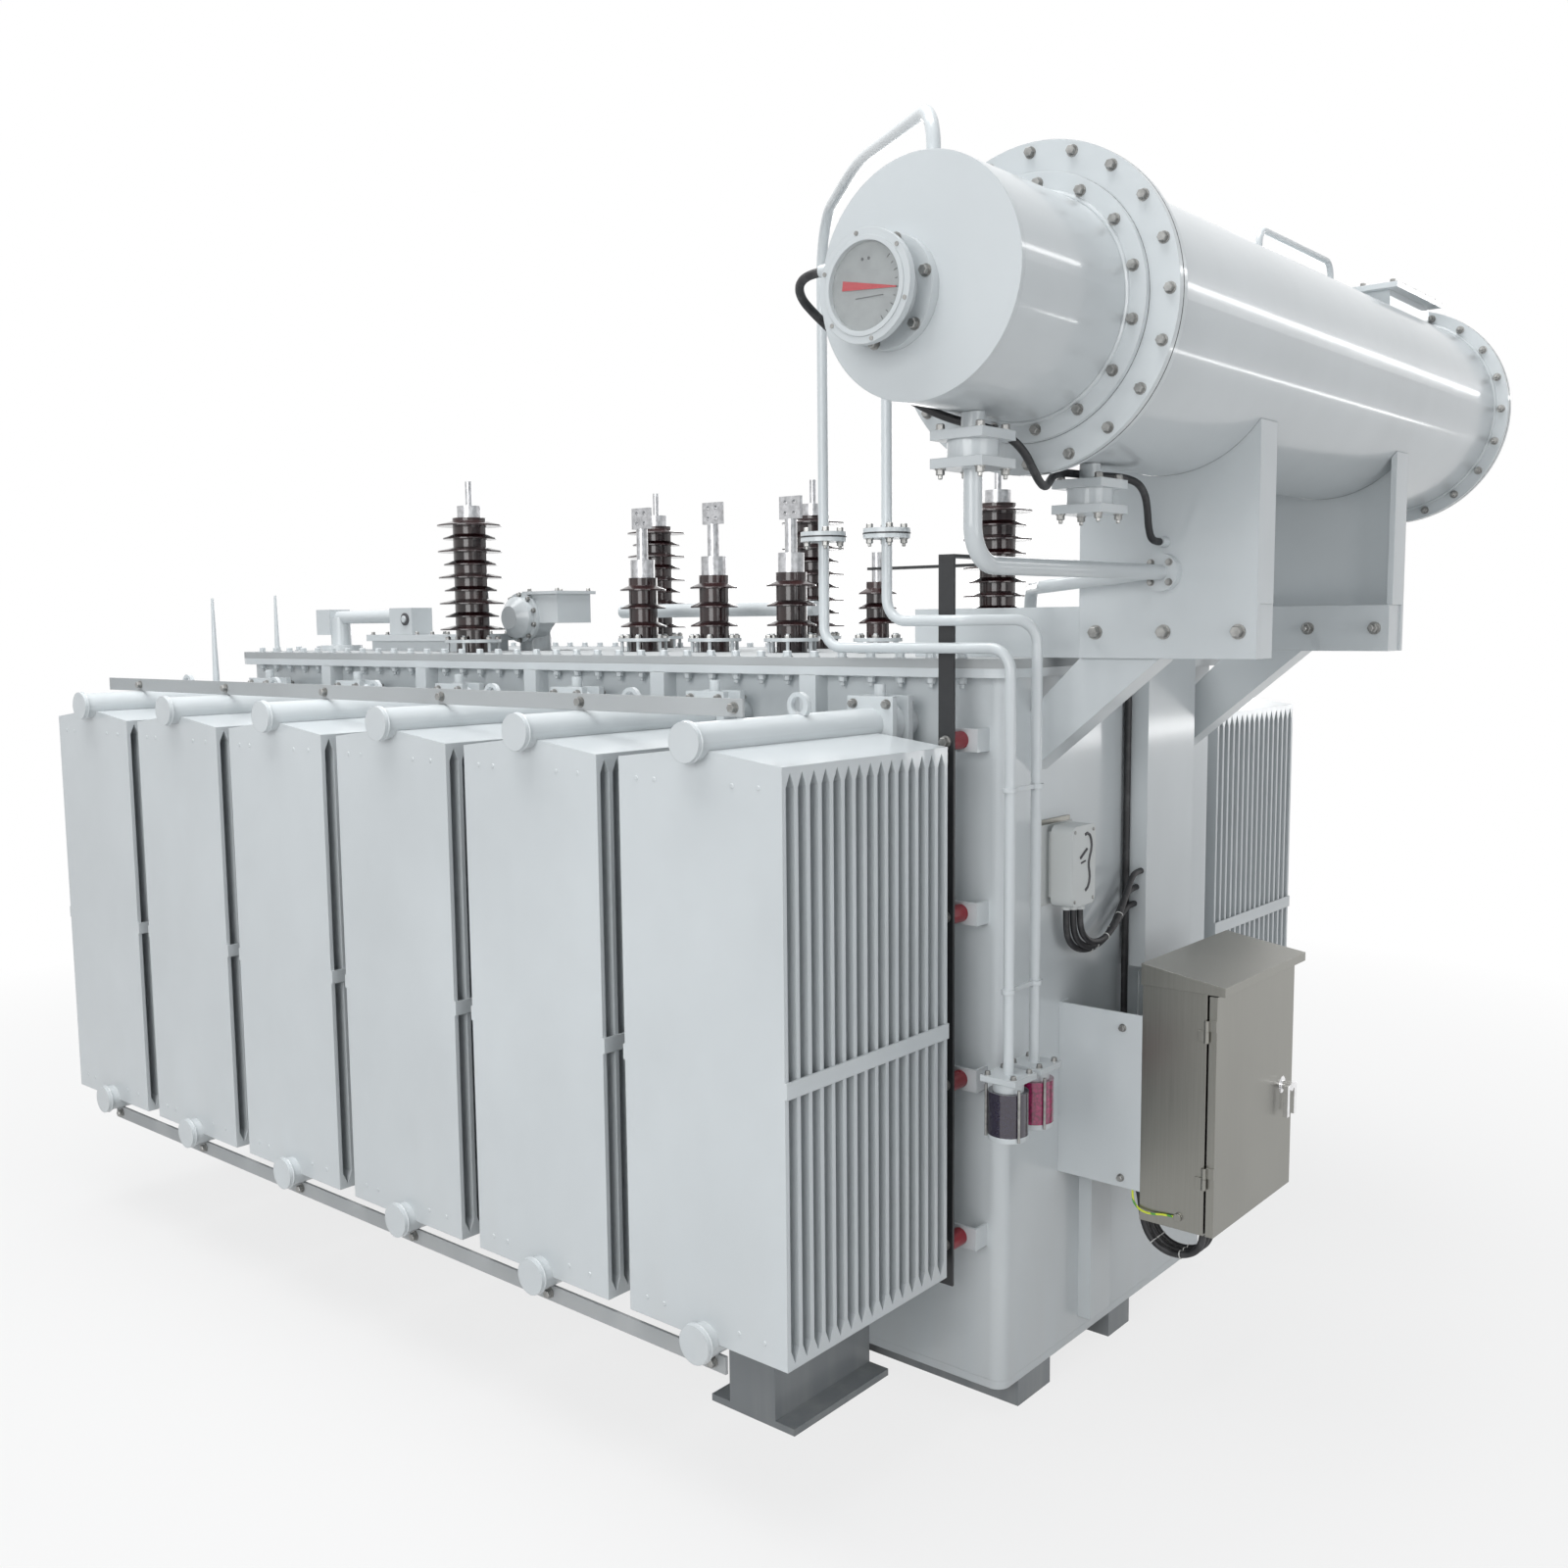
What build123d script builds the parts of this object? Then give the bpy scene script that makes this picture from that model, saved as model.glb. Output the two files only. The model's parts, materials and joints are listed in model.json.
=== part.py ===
from build123d import *
import math
import os

os.makedirs("parts", exist_ok=True)

# Power transformer, millimetres. Z is up from the ground, X runs along the tank and
# the conservator end is +X. The oil gauge faces -Y.

# Base and tank
SKID_HEIGHT = 76.0
SKID_WIDTHS = (174.0, 132.0)
SKID_YS = (-460.0, 44.0)
TANK_LENGTH = 3640.0
TANK_WIDTH = 1268.0
TANK_WALL = 10.0
TANK_CORNER = 40.0
FLOOR_THICK = 24.0
FLANGE_Z = 2028.0
FLANGE_THICK = 25.0
FLANGE_OVER = 45.0
COVER_THICK = 25.0
OUTRIGGER_INSET = 534.0
OUTRIGGER_PLATE = 302.0
OUTRIGGER_BOX = 166.0
OUTRIGGER_LENGTH = 426.0
OUTRIGGER_HEIGHT = 230.0
OUTRIGGER_PLATE_THICK = 20.0
STIFFENER_WIDTH = 60.0
STIFFENER_DEPTH = 55.0
STIFFENER_WALL = 6.0
END_RIB_DEPTH = 42.0
END_RIB_Y0 = -216.0
END_RIB_Y1 = -96.0
END_RIB_Z0 = 139.0
END_RIB_Z1 = 600.0

# Radiators
BANK_COUNT = 6
RADIATOR_INSET = 320.0
RADIATOR_GAP = 80.0
RADIATOR_DEPTH = 654.0
RADIATOR_Z = 451.0
RADIATOR_HEIGHT = 1407.0
ROOF_RISE = 32.0
ROOF_BAND = 14.0
FIN_COUNT = 16
FIN_THICK = 13.0
SLOT_POINT = 34.0
STRAP_Z = 1100.0
STRAP_HEIGHT = 40.0
STRAP_THICK = 6.0
HEADER_RADIUS = 44.5
HEADER_CAP_RADIUS = 48.5
HEADER_CAP_THICK = 14.0
HEADER_OVER = 42.0
HEADER_TOP_Z = 1905.0
HEADER_LOW_Z = 453.0
HEADER_REACH = 18.0
EYE_OUTER = 34.0
EYE_INNER = 20.0
EYE_THICK = 14.0
EYE_INSET = 377.0
EYE_LIFT = 2.0
VALVE_STUB = 69.0
VALVE_FLANGE = 150.0
VALVE_FLANGE_THICK = 20.0
VALVE_BODY_RADIUS = 62.0
VALVE_BODY_LENGTH = 52.0
VALVE_SPINDLE_RADIUS = 16.0
VALVE_SPINDLE_HEIGHT = 44.0
TIE_HEIGHT = 45.0
TIE_THICK = 8.0
TIE_TOP_INSET = 197.0
TIE_TOP_FAR = 239.0
TIE_TOP_NEAR = -22.0
TIE_LOW_INSET = 35.0
TIE_LOW_OVER = 40.0

# Bushings; the places are shares of the tank's length and width
HV_SHARES = ((-0.1673, -0.347), (-0.1385, 0.3391), (0.0882, 0.3391), (0.3099, 0.3391))
HV_BODY_RADIUS = 62.0
HV_BIG_SHED = 118.0
HV_SMALL_SHED = 98.0
HV_SHED_COUNT = 9
HV_SHED_PITCH = 47.6
HV_FIRST_SHED = 66.0
HV_LENGTH = 467.0
HV_CAP_RADIUS = 44.0
HV_CAP_HEIGHT = 44.0
HV_STUD_RADIUS = 12.0
HV_STUD_HEIGHT = 90.0
LV_SHARES = ((0.0, -0.1183), (0.0956, -0.1183), (0.1912, -0.1183))
LV_BODY_RADIUS = 51.0
LV_SHED_RADIUS = 82.0
LV_SHED_COUNT = 3
LV_SHED_PITCH = 65.0
LV_FIRST_SHED = 71.0
LV_LENGTH = 237.0
LV_CAP_RADIUS = 43.0
LV_CAP_HEIGHT = 64.0
LV_STEM_RADIUS = 20.0
LV_STEM_HEIGHT = 110.0
LV_PAD_WIDTH = 88.0
LV_PAD_HEIGHT = 74.0
LV_PAD_THICK = 14.0
LV_PAD_HOLE = 7.0
LV_PAD_HOLE_PITCH = 36.0
NEUTRAL_SHARE = (0.2885, -0.1183)
NEUTRAL_BODY_RADIUS = 36.0
NEUTRAL_SHED_RADIUS = 60.0
NEUTRAL_SHED_PITCH = 46.0
NEUTRAL_FIRST_SHED = 76.0
NEUTRAL_LENGTH = 197.0
NEUTRAL_CAP_RADIUS = 18.0
NEUTRAL_CAP_HEIGHT = 92.0
SHED_TIP = 5.0
SHED_ROOT = 18.0
SHED_DROOP = 7.0
BUSHING_FOOT = 26.0
CLAMP_LIFT = 36.0
CLAMP_THICK = 12.0
CLAMP_OVER = 42.0
CLAMP_STUDS = 6
CLAMP_STUD_RADIUS = 6.0
CLAMP_STUD_INSET = 12.0
CLAMP_STUD_TOP = 14.0

# Conservator
CONS_OFFSET = 387.0
CONS_Z = 2822.0
CONS_RADIUS = 297.0
CONS_WALL = 10.0
CONS_HALF = 1160.0
CONS_RING_RADIUS = 339.0
CONS_RING_THICK = 16.0
DRUM_RADIUS = 230.0
DRUM_LENGTH = 400.0
DRUM_FLANGE_RADIUS = 274.0
DRUM_FLANGE_THICK = 14.0
DRUM_END_THICK = 10.0
GAUGE_OFFSET = 57.0
GAUGE_Z = 2801.0
GAUGE_RADIUS = 92.0
GAUGE_COLLAR_RADIUS = 108.0
GAUGE_COLLAR_THICK = 22.0
GAUGE_NECK_RADIUS = 74.0
GAUGE_NECK_LENGTH = 34.0
GAUGE_RIM_LENGTH = 36.0
GAUGE_RIM_WALL = 10.0
GAUGE_DIAL_DEPTH = 12.0
HATCH_INSET = 90.0
HATCH_LENGTH = 420.0
HATCH_WIDTH = 300.0
HATCH_THICK = 16.0
HATCH_CURB = 22.0
HATCH_LIP = 30.0
GRIP_GAP = 130.0
GRIP_LENGTH = 520.0
GRIP_RISE = 90.0
GRIP_RADIUS = 9.0
GRIP_BEND = 40.0

# Conservator support
ARM_INSET = 124.0
ARM_LAP = 373.0
ARM_OVER = 620.0
ARM_HEIGHT = 132.0
ARM_WIDTH = 90.0
SADDLE_NEAR = 235.0
SADDLE_FAR = 238.0
SADDLE_TOP = 2640.0
SADDLE_THICK = 16.0
SADDLE_RIB = 80.0
BRACE_DROP = 304.0
BRACE_REACH = 370.0
BRACE_FOOT = 161.0
BRACE_HEAD = 223.0
COLUMN_Y0 = 27.0
COLUMN_CLEAR = 85.0
COLUMN_DEPTH = 76.0
COLUMN_Z0 = 1150.0

# Pipes
PIPE_RADIUS = 14.0
PIPE_FLANGE_RADIUS = 62.0
PIPE_FLANGE_THICK = 26.0
PIPE_FLANGE_Z = 2392.0
PIPE_BEND = 60.0
PIPE_SINK = 30.0
FRONT_PIPE_INSET = 481.0
BREATHER_PIPE_GAP = 151.0
FRONT_PIPE_TOP = 3225.0
FRONT_PIPE_PEAK = 3245.0
FRONT_PEAK_SHARE = 0.6
FRONT_TAP_BEND = 90.0
FRONT_PEAK_BEND = 1400.0
FRONT_TOP_BEND = 150.0
FRONT_PIPE_LOW = 2108.0
FRONT_DROP_GAP = 108.0
DRUM_TAP_INSET = 56.0
DRUM_TAP_RISE = 95.0
INNER_PIPE_INSET = 270.0
INNER_PIPE_LOW = 2178.0
INNER_TURN_INSET = 40.0
INNER_DROP_GAP = 105.0
INNER_DROP_SIDE = 20.0
OIL_PIPE_RADIUS = 19.0
OIL_PIPE_Z = 2290.0
OIL_PIPE_BEND = 80.0
OIL_FLANGE_RADIUS = 46.0
TANK_LINE_RADIUS = 17.0
TANK_LINE_Z = 2262.0
TANK_LINE_SIDE = 62.0
TANK_LINE_TURN = 85.0
TANK_LINE_INSET = 100.0
TANK_LINE_DEPTH = 180.0
OIL_VALVE_INSET = 196.0
DRAIN_VALVE_INSET = 252.0
CONS_VALVE_SIDE = 124.0
CONS_VALVE_HEIGHT = 76.0
CONS_VALVE_NECK = 24.0
CONS_VALVE_BODY = 52.0
CONS_VALVE_PLATE = 20.0
CONS_VALVE_DROP = 36.0

# Breathers
BREATHER_TOP = 1030.0
BREATHER_FLANGE = 104.0
BREATHER_FLANGE_THICK = 16.0
BREATHER_NECK = 26.0
BREATHER_NECK_RADIUS = 40.0
CUP_RADIUS = 52.0
CUP_HEIGHT = 112.0
CUP_FOOT_HEIGHT = 14.0

# End-wall fittings
THERMO_Y0 = -440.0
THERMO_Y1 = -312.0
THERMO_Z0 = 1400.0
THERMO_Z1 = 1622.0
THERMO_DEPTH = 66.0
THERMO_PLATE = 8.0
THERMO_STANDOFF = 18.0
THERMO_CORNER = 22.0
THERMO_LIP = 20.0
CABINET_GAP = 255.0
CABINET_DEPTH = 212.0
CABINET_Y0 = -341.0
CABINET_Y1 = 180.0
CABINET_Z0 = 541.0
CABINET_Z1 = 1200.0
CABINET_WALL = 4.0
HOOD_OVER = 26.0
HOOD_SIDE = 12.0
HOOD_LIP = 24.0
HOOD_RISE = 34.0
DOOR_THICK = 22.0
DOOR_GAP = 6.0
HINGE_RADIUS = 7.0
HINGE_LENGTH = 60.0
HINGE_CLEAR = 1.0
KNUCKLE_GAP = 0.6
HINGE_INSET = 130.0
HINGE_LEAF = 24.0
HINGE_LEAF_THICK = 4.0
BRACKET_Z0 = 618.0
BRACKET_Z1 = 1110.0
BRACKET_THICK = 6.0
BRACKET_FLANGE = 40.0
HANDLE_Y = 110.0
HANDLE_Z = 850.0
HANDLE_HUB_RADIUS = 13.0
HANDLE_HUB_LENGTH = 30.0
HANDLE_WIDTH = 62.0
HANDLE_DROP = 84.0
HANDLE_BAR = 14.0
HANDLE_CLEAR = 0.5

# Earthing bar
BAR_INSET = 101.0
BAR_GAP = 118.0
BAR_WIDTH = 47.0
BAR_THICK = 8.0
BAR_Z0 = 402.0
BAR_Z1 = 2346.0
INSULATOR_ZS = (514.0, 954.0, 1406.0, 1866.0)
INSULATOR_RADIUS = 24.0
INSULATOR_LENGTH = 62.0
BAR_BRACKET_THICK = 8.0
BAR_BRACKET_HEIGHT = 62.0
BAR_BRACKET_REACH = 52.0

# Cover fittings
RELIEF_INSET = 41.0
RELIEF_Y = -300.0
RELIEF_LIFT = 66.0
RELIEF_TOP = 172.0
RELIEF_DEPTH = 100.0
RELIEF_END = 99.0
RELIEF_LENGTH = 425.0
RELIEF_BOX = 147.0
RELIEF_RADIUS = 27.0
RELIEF_AXIS = 139.0
RELIEF_NECK = 42.0
RELIEF_NECK_INSET = 105.0
RELIEF_FOOT = 86.0
RELIEF_FOOT_THICK = 22.0
HATCHWAY_INSET = 418.0
HATCHWAY_LENGTH = 632.0
HATCHWAY_Y0 = -362.0
HATCHWAY_WIDTH = 250.0
HATCHWAY_CURB = 40.0
HATCHWAY_LID = 26.0
HATCHWAY_LIP = 16.0
GEAR_INSET = 1180.0
GEAR_Y = -60.0
GEAR_RADIUS = 62.0
GEAR_LENGTH = 120.0
GEAR_AXIS_Z = 2218.0
GEAR_BOX = 170.0
GEAR_BOX_HEIGHT = 110.0
GEAR_LID = 200.0
GEAR_BOX_LIFT = 106.0
GEAR_LID_THICK = 12.0
DOME_RADIUS = 80.0
DOME_FLANGE = 96.0
DOME_FLANGE_THICK = 16.0
DOME_LENGTH = 40.0
DOME_TIP_RADIUS = 44.0
DOME_TIP_LENGTH = 34.0
DOME_SHIFT = 30.0
DOME_Z = 2206.0
MANIFOLD_Y = 150.0
MANIFOLD_X0 = -420.0
MANIFOLD_X1 = 560.0
MANIFOLD_Z = 2226.0
MANIFOLD_RADIUS = 26.0
MANIFOLD_POST_RADIUS = 30.0
MANIFOLD_INSET = 120.0
POST_INSET = 20.0
POST_Y = -528.0
POST_HEIGHT = 232.0
TALL_POST_INSET = 490.0
TALL_POST_HEIGHT = 345.0
TALL_POST_SINK = 4.0
TALL_POST_FOOT = 13.0
POST_FOOT_RADIUS = 11.0
POST_TIP_RADIUS = 5.0

# Flexible leads and their glands
GAUGE_CABLE = 18.0
THERMO_CABLE = 18.0
CABINET_CONDUIT = 20.0
EARTH_WIRE = 6.0
COLUMN_CONDUIT = 20.0
COLUMN_CONDUIT_GAP = 16.0
COLUMN_CONDUIT_Z0 = 620.0
GLAND_OVER = 4.0
THERMO_GLAND = 14.0
CABINET_GLAND = 14.0
GAUGE_GLAND_REACH = 22.0
GAUGE_GLAND_SINK = 22.0
GAUGE_GLAND_RISE = 45.0
SADDLE_GLAND = 30.0
SADDLE_GLAND_Z = 2364.0
EARTH_STUD_INSET = 113.0
EARTH_STUD_Z = 575.0
EARTH_STUD_RADIUS = 11.0
EARTH_STUD_LENGTH = 8.0
ARC_SHARE = 0.45
LEAD_CLEAR = 0.3
GAUGE_CABLE_SLACK = 10
# Lead routes as (X from the end wall, Y, Z); the gauge's lead moves with its two glands
GAUGE_CABLE_POINTS = (
    (215.7, -1660, 2846), (184, -1660, 2846), (146, -1644, 2836), (122, -1608, 2818), (118, -1562, 2796),
    (127, -1516, 2768), (145, -1474, 2732), (173, -1437, 2690), (213, -1403, 2648), (263, -1375, 2612),
    (319, -1353, 2586), (374, -1326, 2570), (408, -1286, 2552), (422, -1248, 2522), (422, -1212, 2486),
    (413, -1170, 2464), (398, -1122, 2460), (378, -1074, 2474), (358, -1022, 2494), (347, -966, 2505),
    (345, -906, 2507), (350, -846, 2506), (364, -788, 2508), (380, -732, 2507), (392, -684, 2498),
    (397, -656, 2472), (396, -641, 2435), (392, -628, 2399), (388, -606, 2372), (387, -582, 2364),
    (387, -556.3, 2364),
)
THERMO_CABLE_POINTS = (
    ((48, -392, 1385.7), (48, -392, 1340), (44, -373, 1296), (42, -328, 1265), (42, -264, 1250),
     (42, -196, 1254), (41, -132, 1274), (40, -82, 1301), (40, -40, 1328), (40, -6, 1339),
     (40, 26.7, 1339)),
    ((60, -376, 1385.7), (60, -376, 1343), (58, -357, 1302), (57, -314, 1273), (57, -256, 1261),
     (57, -194, 1269), (55, -138, 1296), (52, -92, 1334), (48, -50, 1370), (46, -12, 1389),
     (46, 26.7, 1389)),
    ((72, -360, 1385.7), (72, -360, 1346), (72, -341, 1309), (72, -301, 1284), (72, -248, 1275),
     (72, -192, 1286), (71, -144, 1315), (69, -104, 1356), (66, -66, 1400), (62, -36, 1428),
     (60, -6, 1439), (60, 26.7, 1439)),
)
CONDUIT_YS = (-262.0, -236.0, -210.0)
CONDUIT_PROFILE = (
    (405, 526.7), (405, 492), (387, 458), (354, 438), (315, 432), (277, 441), (246, 466),
    (229, 504), (222, 546), (215, 590), (197, 632), (164, 665), (122, 685), (78, 692),
    (38, 690), (0.3, 690),
)
EARTH_WIRE_POINTS = (
    (356.7, -346, 575), (330, -346, 575), (298, -351, 569), (268, -352, 570), (244, -346, 580),
    (232, -338, 597), (232, -338, 617.7),
)

# Fits
SEAT_CLEAR = 0.4
HOLE_CLEAR = 0.4

cover_top = FLANGE_Z + FLANGE_THICK + COVER_THICK
half_length = TANK_LENGTH / 2
half_width = TANK_WIDTH / 2
cons_x = half_length + CONS_OFFSET
gauge_x = cons_x - GAUGE_OFFSET
arm_y = half_width - ARM_INSET
cabinet_x0 = half_length + CABINET_GAP
cabinet_x1 = cabinet_x0 + CABINET_DEPTH
front_pipe_x = half_length - FRONT_PIPE_INSET
front_drop_x = half_length + FRONT_DROP_GAP
inner_pipe_x = half_length - INNER_PIPE_INSET
inner_turn_x = half_length - INNER_TURN_INSET
inner_drop_x = half_length + INNER_DROP_GAP
breather_pipe_y = -half_width - BREATHER_PIPE_GAP
inner_drop_y = -half_width - INNER_DROP_SIDE
bar_x = half_length - BAR_INSET
bar_y = -half_width - BAR_GAP
hv_places = [(TANK_LENGTH * x, TANK_WIDTH * y) for x, y in HV_SHARES]
lv_places = [(TANK_LENGTH * x, TANK_WIDTH * y) for x, y in LV_SHARES]
neutral_place = (TANK_LENGTH * NEUTRAL_SHARE[0], TANK_WIDTH * NEUTRAL_SHARE[1])


def block(x0, x1, y0, y1, z0, z1):
    """A box between two corners."""
    return Pos((x0 + x1) / 2, (y0 + y1) / 2, (z0 + z1) / 2) * Box(x1 - x0, y1 - y0, z1 - z0)


def rod_x(radius, x0, x1, y, z):
    """A round bar along X."""
    return Pos((x0 + x1) / 2, y, z) * Rot(0, 90, 0) * Cylinder(radius, x1 - x0)


def rod_y(radius, y0, y1, x, z):
    """A round bar along Y."""
    return Pos(x, (y0 + y1) / 2, z) * Rot(90, 0, 0) * Cylinder(radius, y1 - y0)


def rod_z(radius, z0, z1, x, y):
    """A round bar along Z."""
    return Pos(x, y, (z0 + z1) / 2) * Cylinder(radius, z1 - z0)


def save(node, *solids):
    """Write one node from its solids."""
    shape = solids[0] if len(solids) == 1 else Compound(children=list(solids))
    export_step(shape, "parts/" + node + ".step")


def mirrored(solids):
    """The same solids on the +Y side."""
    return [mirror(solid, about=Plane.XZ) for solid in solids]


def tube(points, radius, bend):
    """A round pipe along straight runs; bend is one radius, or one for each corner."""
    path = FilletPolyline(*points, radius=bend)
    start = Plane(path @ 0, z_dir=path % 0)
    return sweep(start * Circle(radius), path=path)


def stretched(points, start, end, slack):
    """A route moved with its start, its last runs sharing what its end needs."""
    start_shift = Vector(*start) - Vector(*points[0])
    end_shift = Vector(*end) - Vector(*points[-1])
    moved = []
    for index, point in enumerate(points):
        share = max(0, index - len(points) + 1 + slack) / slack
        moved.append(tuple(Vector(*point) + start_shift * (1 - share) + end_shift * share))
    return moved


def lead(node, points, diameter):
    """Write a flexible lead along straight runs from the end wall, with the widest arcs that they allow."""
    points = [(half_length + x, y, z) for x, y, z in points]
    radii = []
    for before, corner, after in zip(points, points[1:], points[2:]):
        arriving = Vector(*corner) - Vector(*before)
        leaving = Vector(*after) - Vector(*corner)
        half_turn = math.radians(arriving.get_angle(leaving)) / 2
        radii.append(ARC_SHARE * min(arriving.length, leaving.length) / math.tan(half_turn))
    path = FilletPolyline(*points, radius=radii)
    section = Plane(path @ 0, z_dir=path % 0) * Circle(diameter / 2)
    solid = sweep(section, path=path)
    share = solid.volume / (section.area * path.length)
    print(node, "radii", [round(radius) for radius in radii])
    print(node, "length", round(path.length), "volume over section times length", round(share, 3))
    save(node, solid)


# Tank: a wall with a bolting flange, a floor and a cover
floor_z = SKID_HEIGHT
wall_z = floor_z + FLOOR_THICK
outline = RectangleRounded(TANK_LENGTH, TANK_WIDTH, TANK_CORNER)
bore = RectangleRounded(TANK_LENGTH - 2 * TANK_WALL, TANK_WIDTH - 2 * TANK_WALL, TANK_CORNER - TANK_WALL)
rim_length = TANK_LENGTH + 2 * FLANGE_OVER
rim_width = TANK_WIDTH + 2 * FLANGE_OVER
rim = RectangleRounded(rim_length, rim_width, TANK_CORNER + FLANGE_OVER)
tank_wall = extrude(Pos(0, 0, wall_z) * (outline - bore), FLANGE_Z - wall_z)
tank_wall += extrude(Pos(0, 0, FLANGE_Z) * (rim - bore), FLANGE_THICK)
save("tank_wall", tank_wall)
save("tank_floor", extrude(Pos(0, 0, floor_z) * outline, FLOOR_THICK))
save("tank_cover", extrude(Pos(0, 0, FLANGE_Z + FLANGE_THICK) * rim, COVER_THICK))

# Skids and outriggers
skids = []
for skid_y, skid_width in zip(SKID_YS, SKID_WIDTHS):
    y0 = skid_y - skid_width / 2
    skids.append(block(-half_length, half_length, y0, y0 + skid_width, 0, SKID_HEIGHT))
save("skids", *skids)
outrigger_x = half_length - OUTRIGGER_INSET
outrigger_y = -half_width - OUTRIGGER_LENGTH
plate_x = outrigger_x - OUTRIGGER_PLATE / 2
box_x = outrigger_x - OUTRIGGER_BOX / 2
foot = block(plate_x, plate_x + OUTRIGGER_PLATE, outrigger_y, -half_width, 0, OUTRIGGER_PLATE_THICK)
foot += block(box_x, box_x + OUTRIGGER_BOX, outrigger_y, -half_width, 0, OUTRIGGER_HEIGHT)
save("outriggers", foot, *mirrored([foot]))

# Wall stiffeners between the radiators, and one low on the conservator end
stiffeners = []
first_x = half_length - RADIATOR_INSET
radiator_pitch = 2 * first_x / (BANK_COUNT - 1)
for index in range(BANK_COUNT - 1):
    x = first_x - (index + 0.5) * radiator_pitch
    x0 = x - STIFFENER_WIDTH / 2
    y0 = -half_width - STIFFENER_DEPTH
    channel = block(x0, x0 + STIFFENER_WIDTH, y0, -half_width, OUTRIGGER_HEIGHT, FLANGE_Z)
    hollow_x = x0 + STIFFENER_WALL
    hollow_width = STIFFENER_WIDTH - 2 * STIFFENER_WALL
    hollow_y = y0 + STIFFENER_WALL
    channel -= block(hollow_x, hollow_x + hollow_width, hollow_y, -half_width, OUTRIGGER_HEIGHT, FLANGE_Z)
    stiffeners.append(channel)
stiffeners += mirrored(stiffeners)
end_rib = block(half_length, half_length + END_RIB_DEPTH, END_RIB_Y0, END_RIB_Y1, END_RIB_Z0, END_RIB_Z1)
save("wall_stiffeners", *stiffeners, end_rib)

# Radiators: a pack of upright fins closed by a roof and a floor, on two header pipes
radiator_width = radiator_pitch - RADIATOR_GAP
header_inner = half_width + VALVE_STUB + 2 * VALVE_FLANGE_THICK + VALVE_BODY_LENGTH
radiator_face = header_inner + HEADER_REACH + RADIATOR_DEPTH
slot_pitch = (RADIATOR_DEPTH - FIN_THICK) / (FIN_COUNT - 1)
slot_width = slot_pitch - FIN_THICK
fin_low = RADIATOR_Z
fin_high = RADIATOR_Z + RADIATOR_HEIGHT
header_end = radiator_face + HEADER_OVER


def fin_pack():
    """One radiator about X = 0 on the -Y side."""
    half = radiator_width / 2
    face_plane = Plane((0, -radiator_face, 0), x_dir=(1, 0, 0), z_dir=(0, -1, 0))
    side_plane = Plane((-half, 0, 0), x_dir=(0, 1, 0), z_dir=(1, 0, 0))
    section = [(-half, fin_low), (half, fin_low), (half, fin_high)]
    section += [(0, fin_high + ROOF_RISE), (-half, fin_high)]
    pack = extrude(face_plane * make_face(Polyline(*section, close=True)), -RADIATOR_DEPTH)
    slots = []
    low = fin_low + ROOF_BAND
    high = fin_high - ROOF_BAND
    for index in range(FIN_COUNT - 1):
        y0 = -radiator_face + FIN_THICK + index * slot_pitch
        y1 = y0 + slot_width
        mid = y0 + slot_width / 2
        gap = [(y0, low + SLOT_POINT), (mid, low), (y1, low + SLOT_POINT)]
        gap += [(y1, high - SLOT_POINT), (mid, high), (y0, high - SLOT_POINT)]
        slots.append(extrude(side_plane * make_face(Polyline(*gap, close=True)), radiator_width))
    pack -= slots
    for z in (HEADER_TOP_Z, HEADER_LOW_Z):
        pack += rod_y(HEADER_RADIUS, -header_end, -header_inner, 0, z)
        pack += rod_y(HEADER_CAP_RADIUS, -header_end, -header_end + HEADER_CAP_THICK, 0, z)
    back_y = -radiator_face + RADIATOR_DEPTH
    for side in (-1, 1):
        x0 = side * (half + STRAP_THICK / 2) - STRAP_THICK / 2
        pack += block(x0, x0 + STRAP_THICK, -radiator_face, back_y, STRAP_Z, STRAP_Z + STRAP_HEIGHT)
    return pack


def lifting_eye():
    """A ring plate standing on the top header of the radiator at X = 0."""
    y0 = EYE_INSET - radiator_face - EYE_THICK / 2
    y1 = y0 + EYE_THICK
    ring_z = HEADER_TOP_Z + HEADER_RADIUS + EYE_INNER
    eye = rod_y(EYE_OUTER, y0, y1, 0, ring_z) - rod_y(EYE_INNER, y0, y1, 0, ring_z + EYE_LIFT)
    return eye - rod_y(HEADER_RADIUS + SEAT_CLEAR, y0, y1, 0, HEADER_TOP_Z)


def header_valve(z, turn):
    """A flanged butterfly valve between a header and the wall, spindle up or down."""
    y0 = -header_inner
    half = VALVE_FLANGE / 2
    y1 = y0 + VALVE_FLANGE_THICK
    y2 = y1 + VALVE_BODY_LENGTH
    y3 = y2 + VALVE_FLANGE_THICK
    valve = block(-half, half, y0, y1, z - half, z + half)
    valve += block(-half, half, y2, y3, z - half, z + half)
    valve += rod_y(VALVE_BODY_RADIUS, y1, y2, 0, z)
    valve += rod_y(HEADER_RADIUS, y3, -half_width, 0, z)
    spindle_y = (y1 + y2) / 2
    tip = z + turn * (VALVE_BODY_RADIUS + VALVE_SPINDLE_HEIGHT)
    valve += rod_z(VALVE_SPINDLE_RADIUS, min(z, tip), max(z, tip), 0, spindle_y)
    return valve


pack = fin_pack()
valve_pair = [header_valve(HEADER_TOP_Z, 1), header_valve(HEADER_LOW_Z, -1)]
eye = lifting_eye()
packs = []
eyes = []
valves = []
for index in range(BANK_COUNT):
    place = Pos(first_x - index * radiator_pitch, 0, 0)
    packs.append(place * pack)
    eyes.append(place * eye)
    valves += [place * valve for valve in valve_pair]
save("radiators_front", *packs)
save("radiators_back", *mirrored(packs))
save("radiator_valves", *valves, *mirrored(valves))
save("lifting_eyes", *eyes, *mirrored(eyes))

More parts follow.
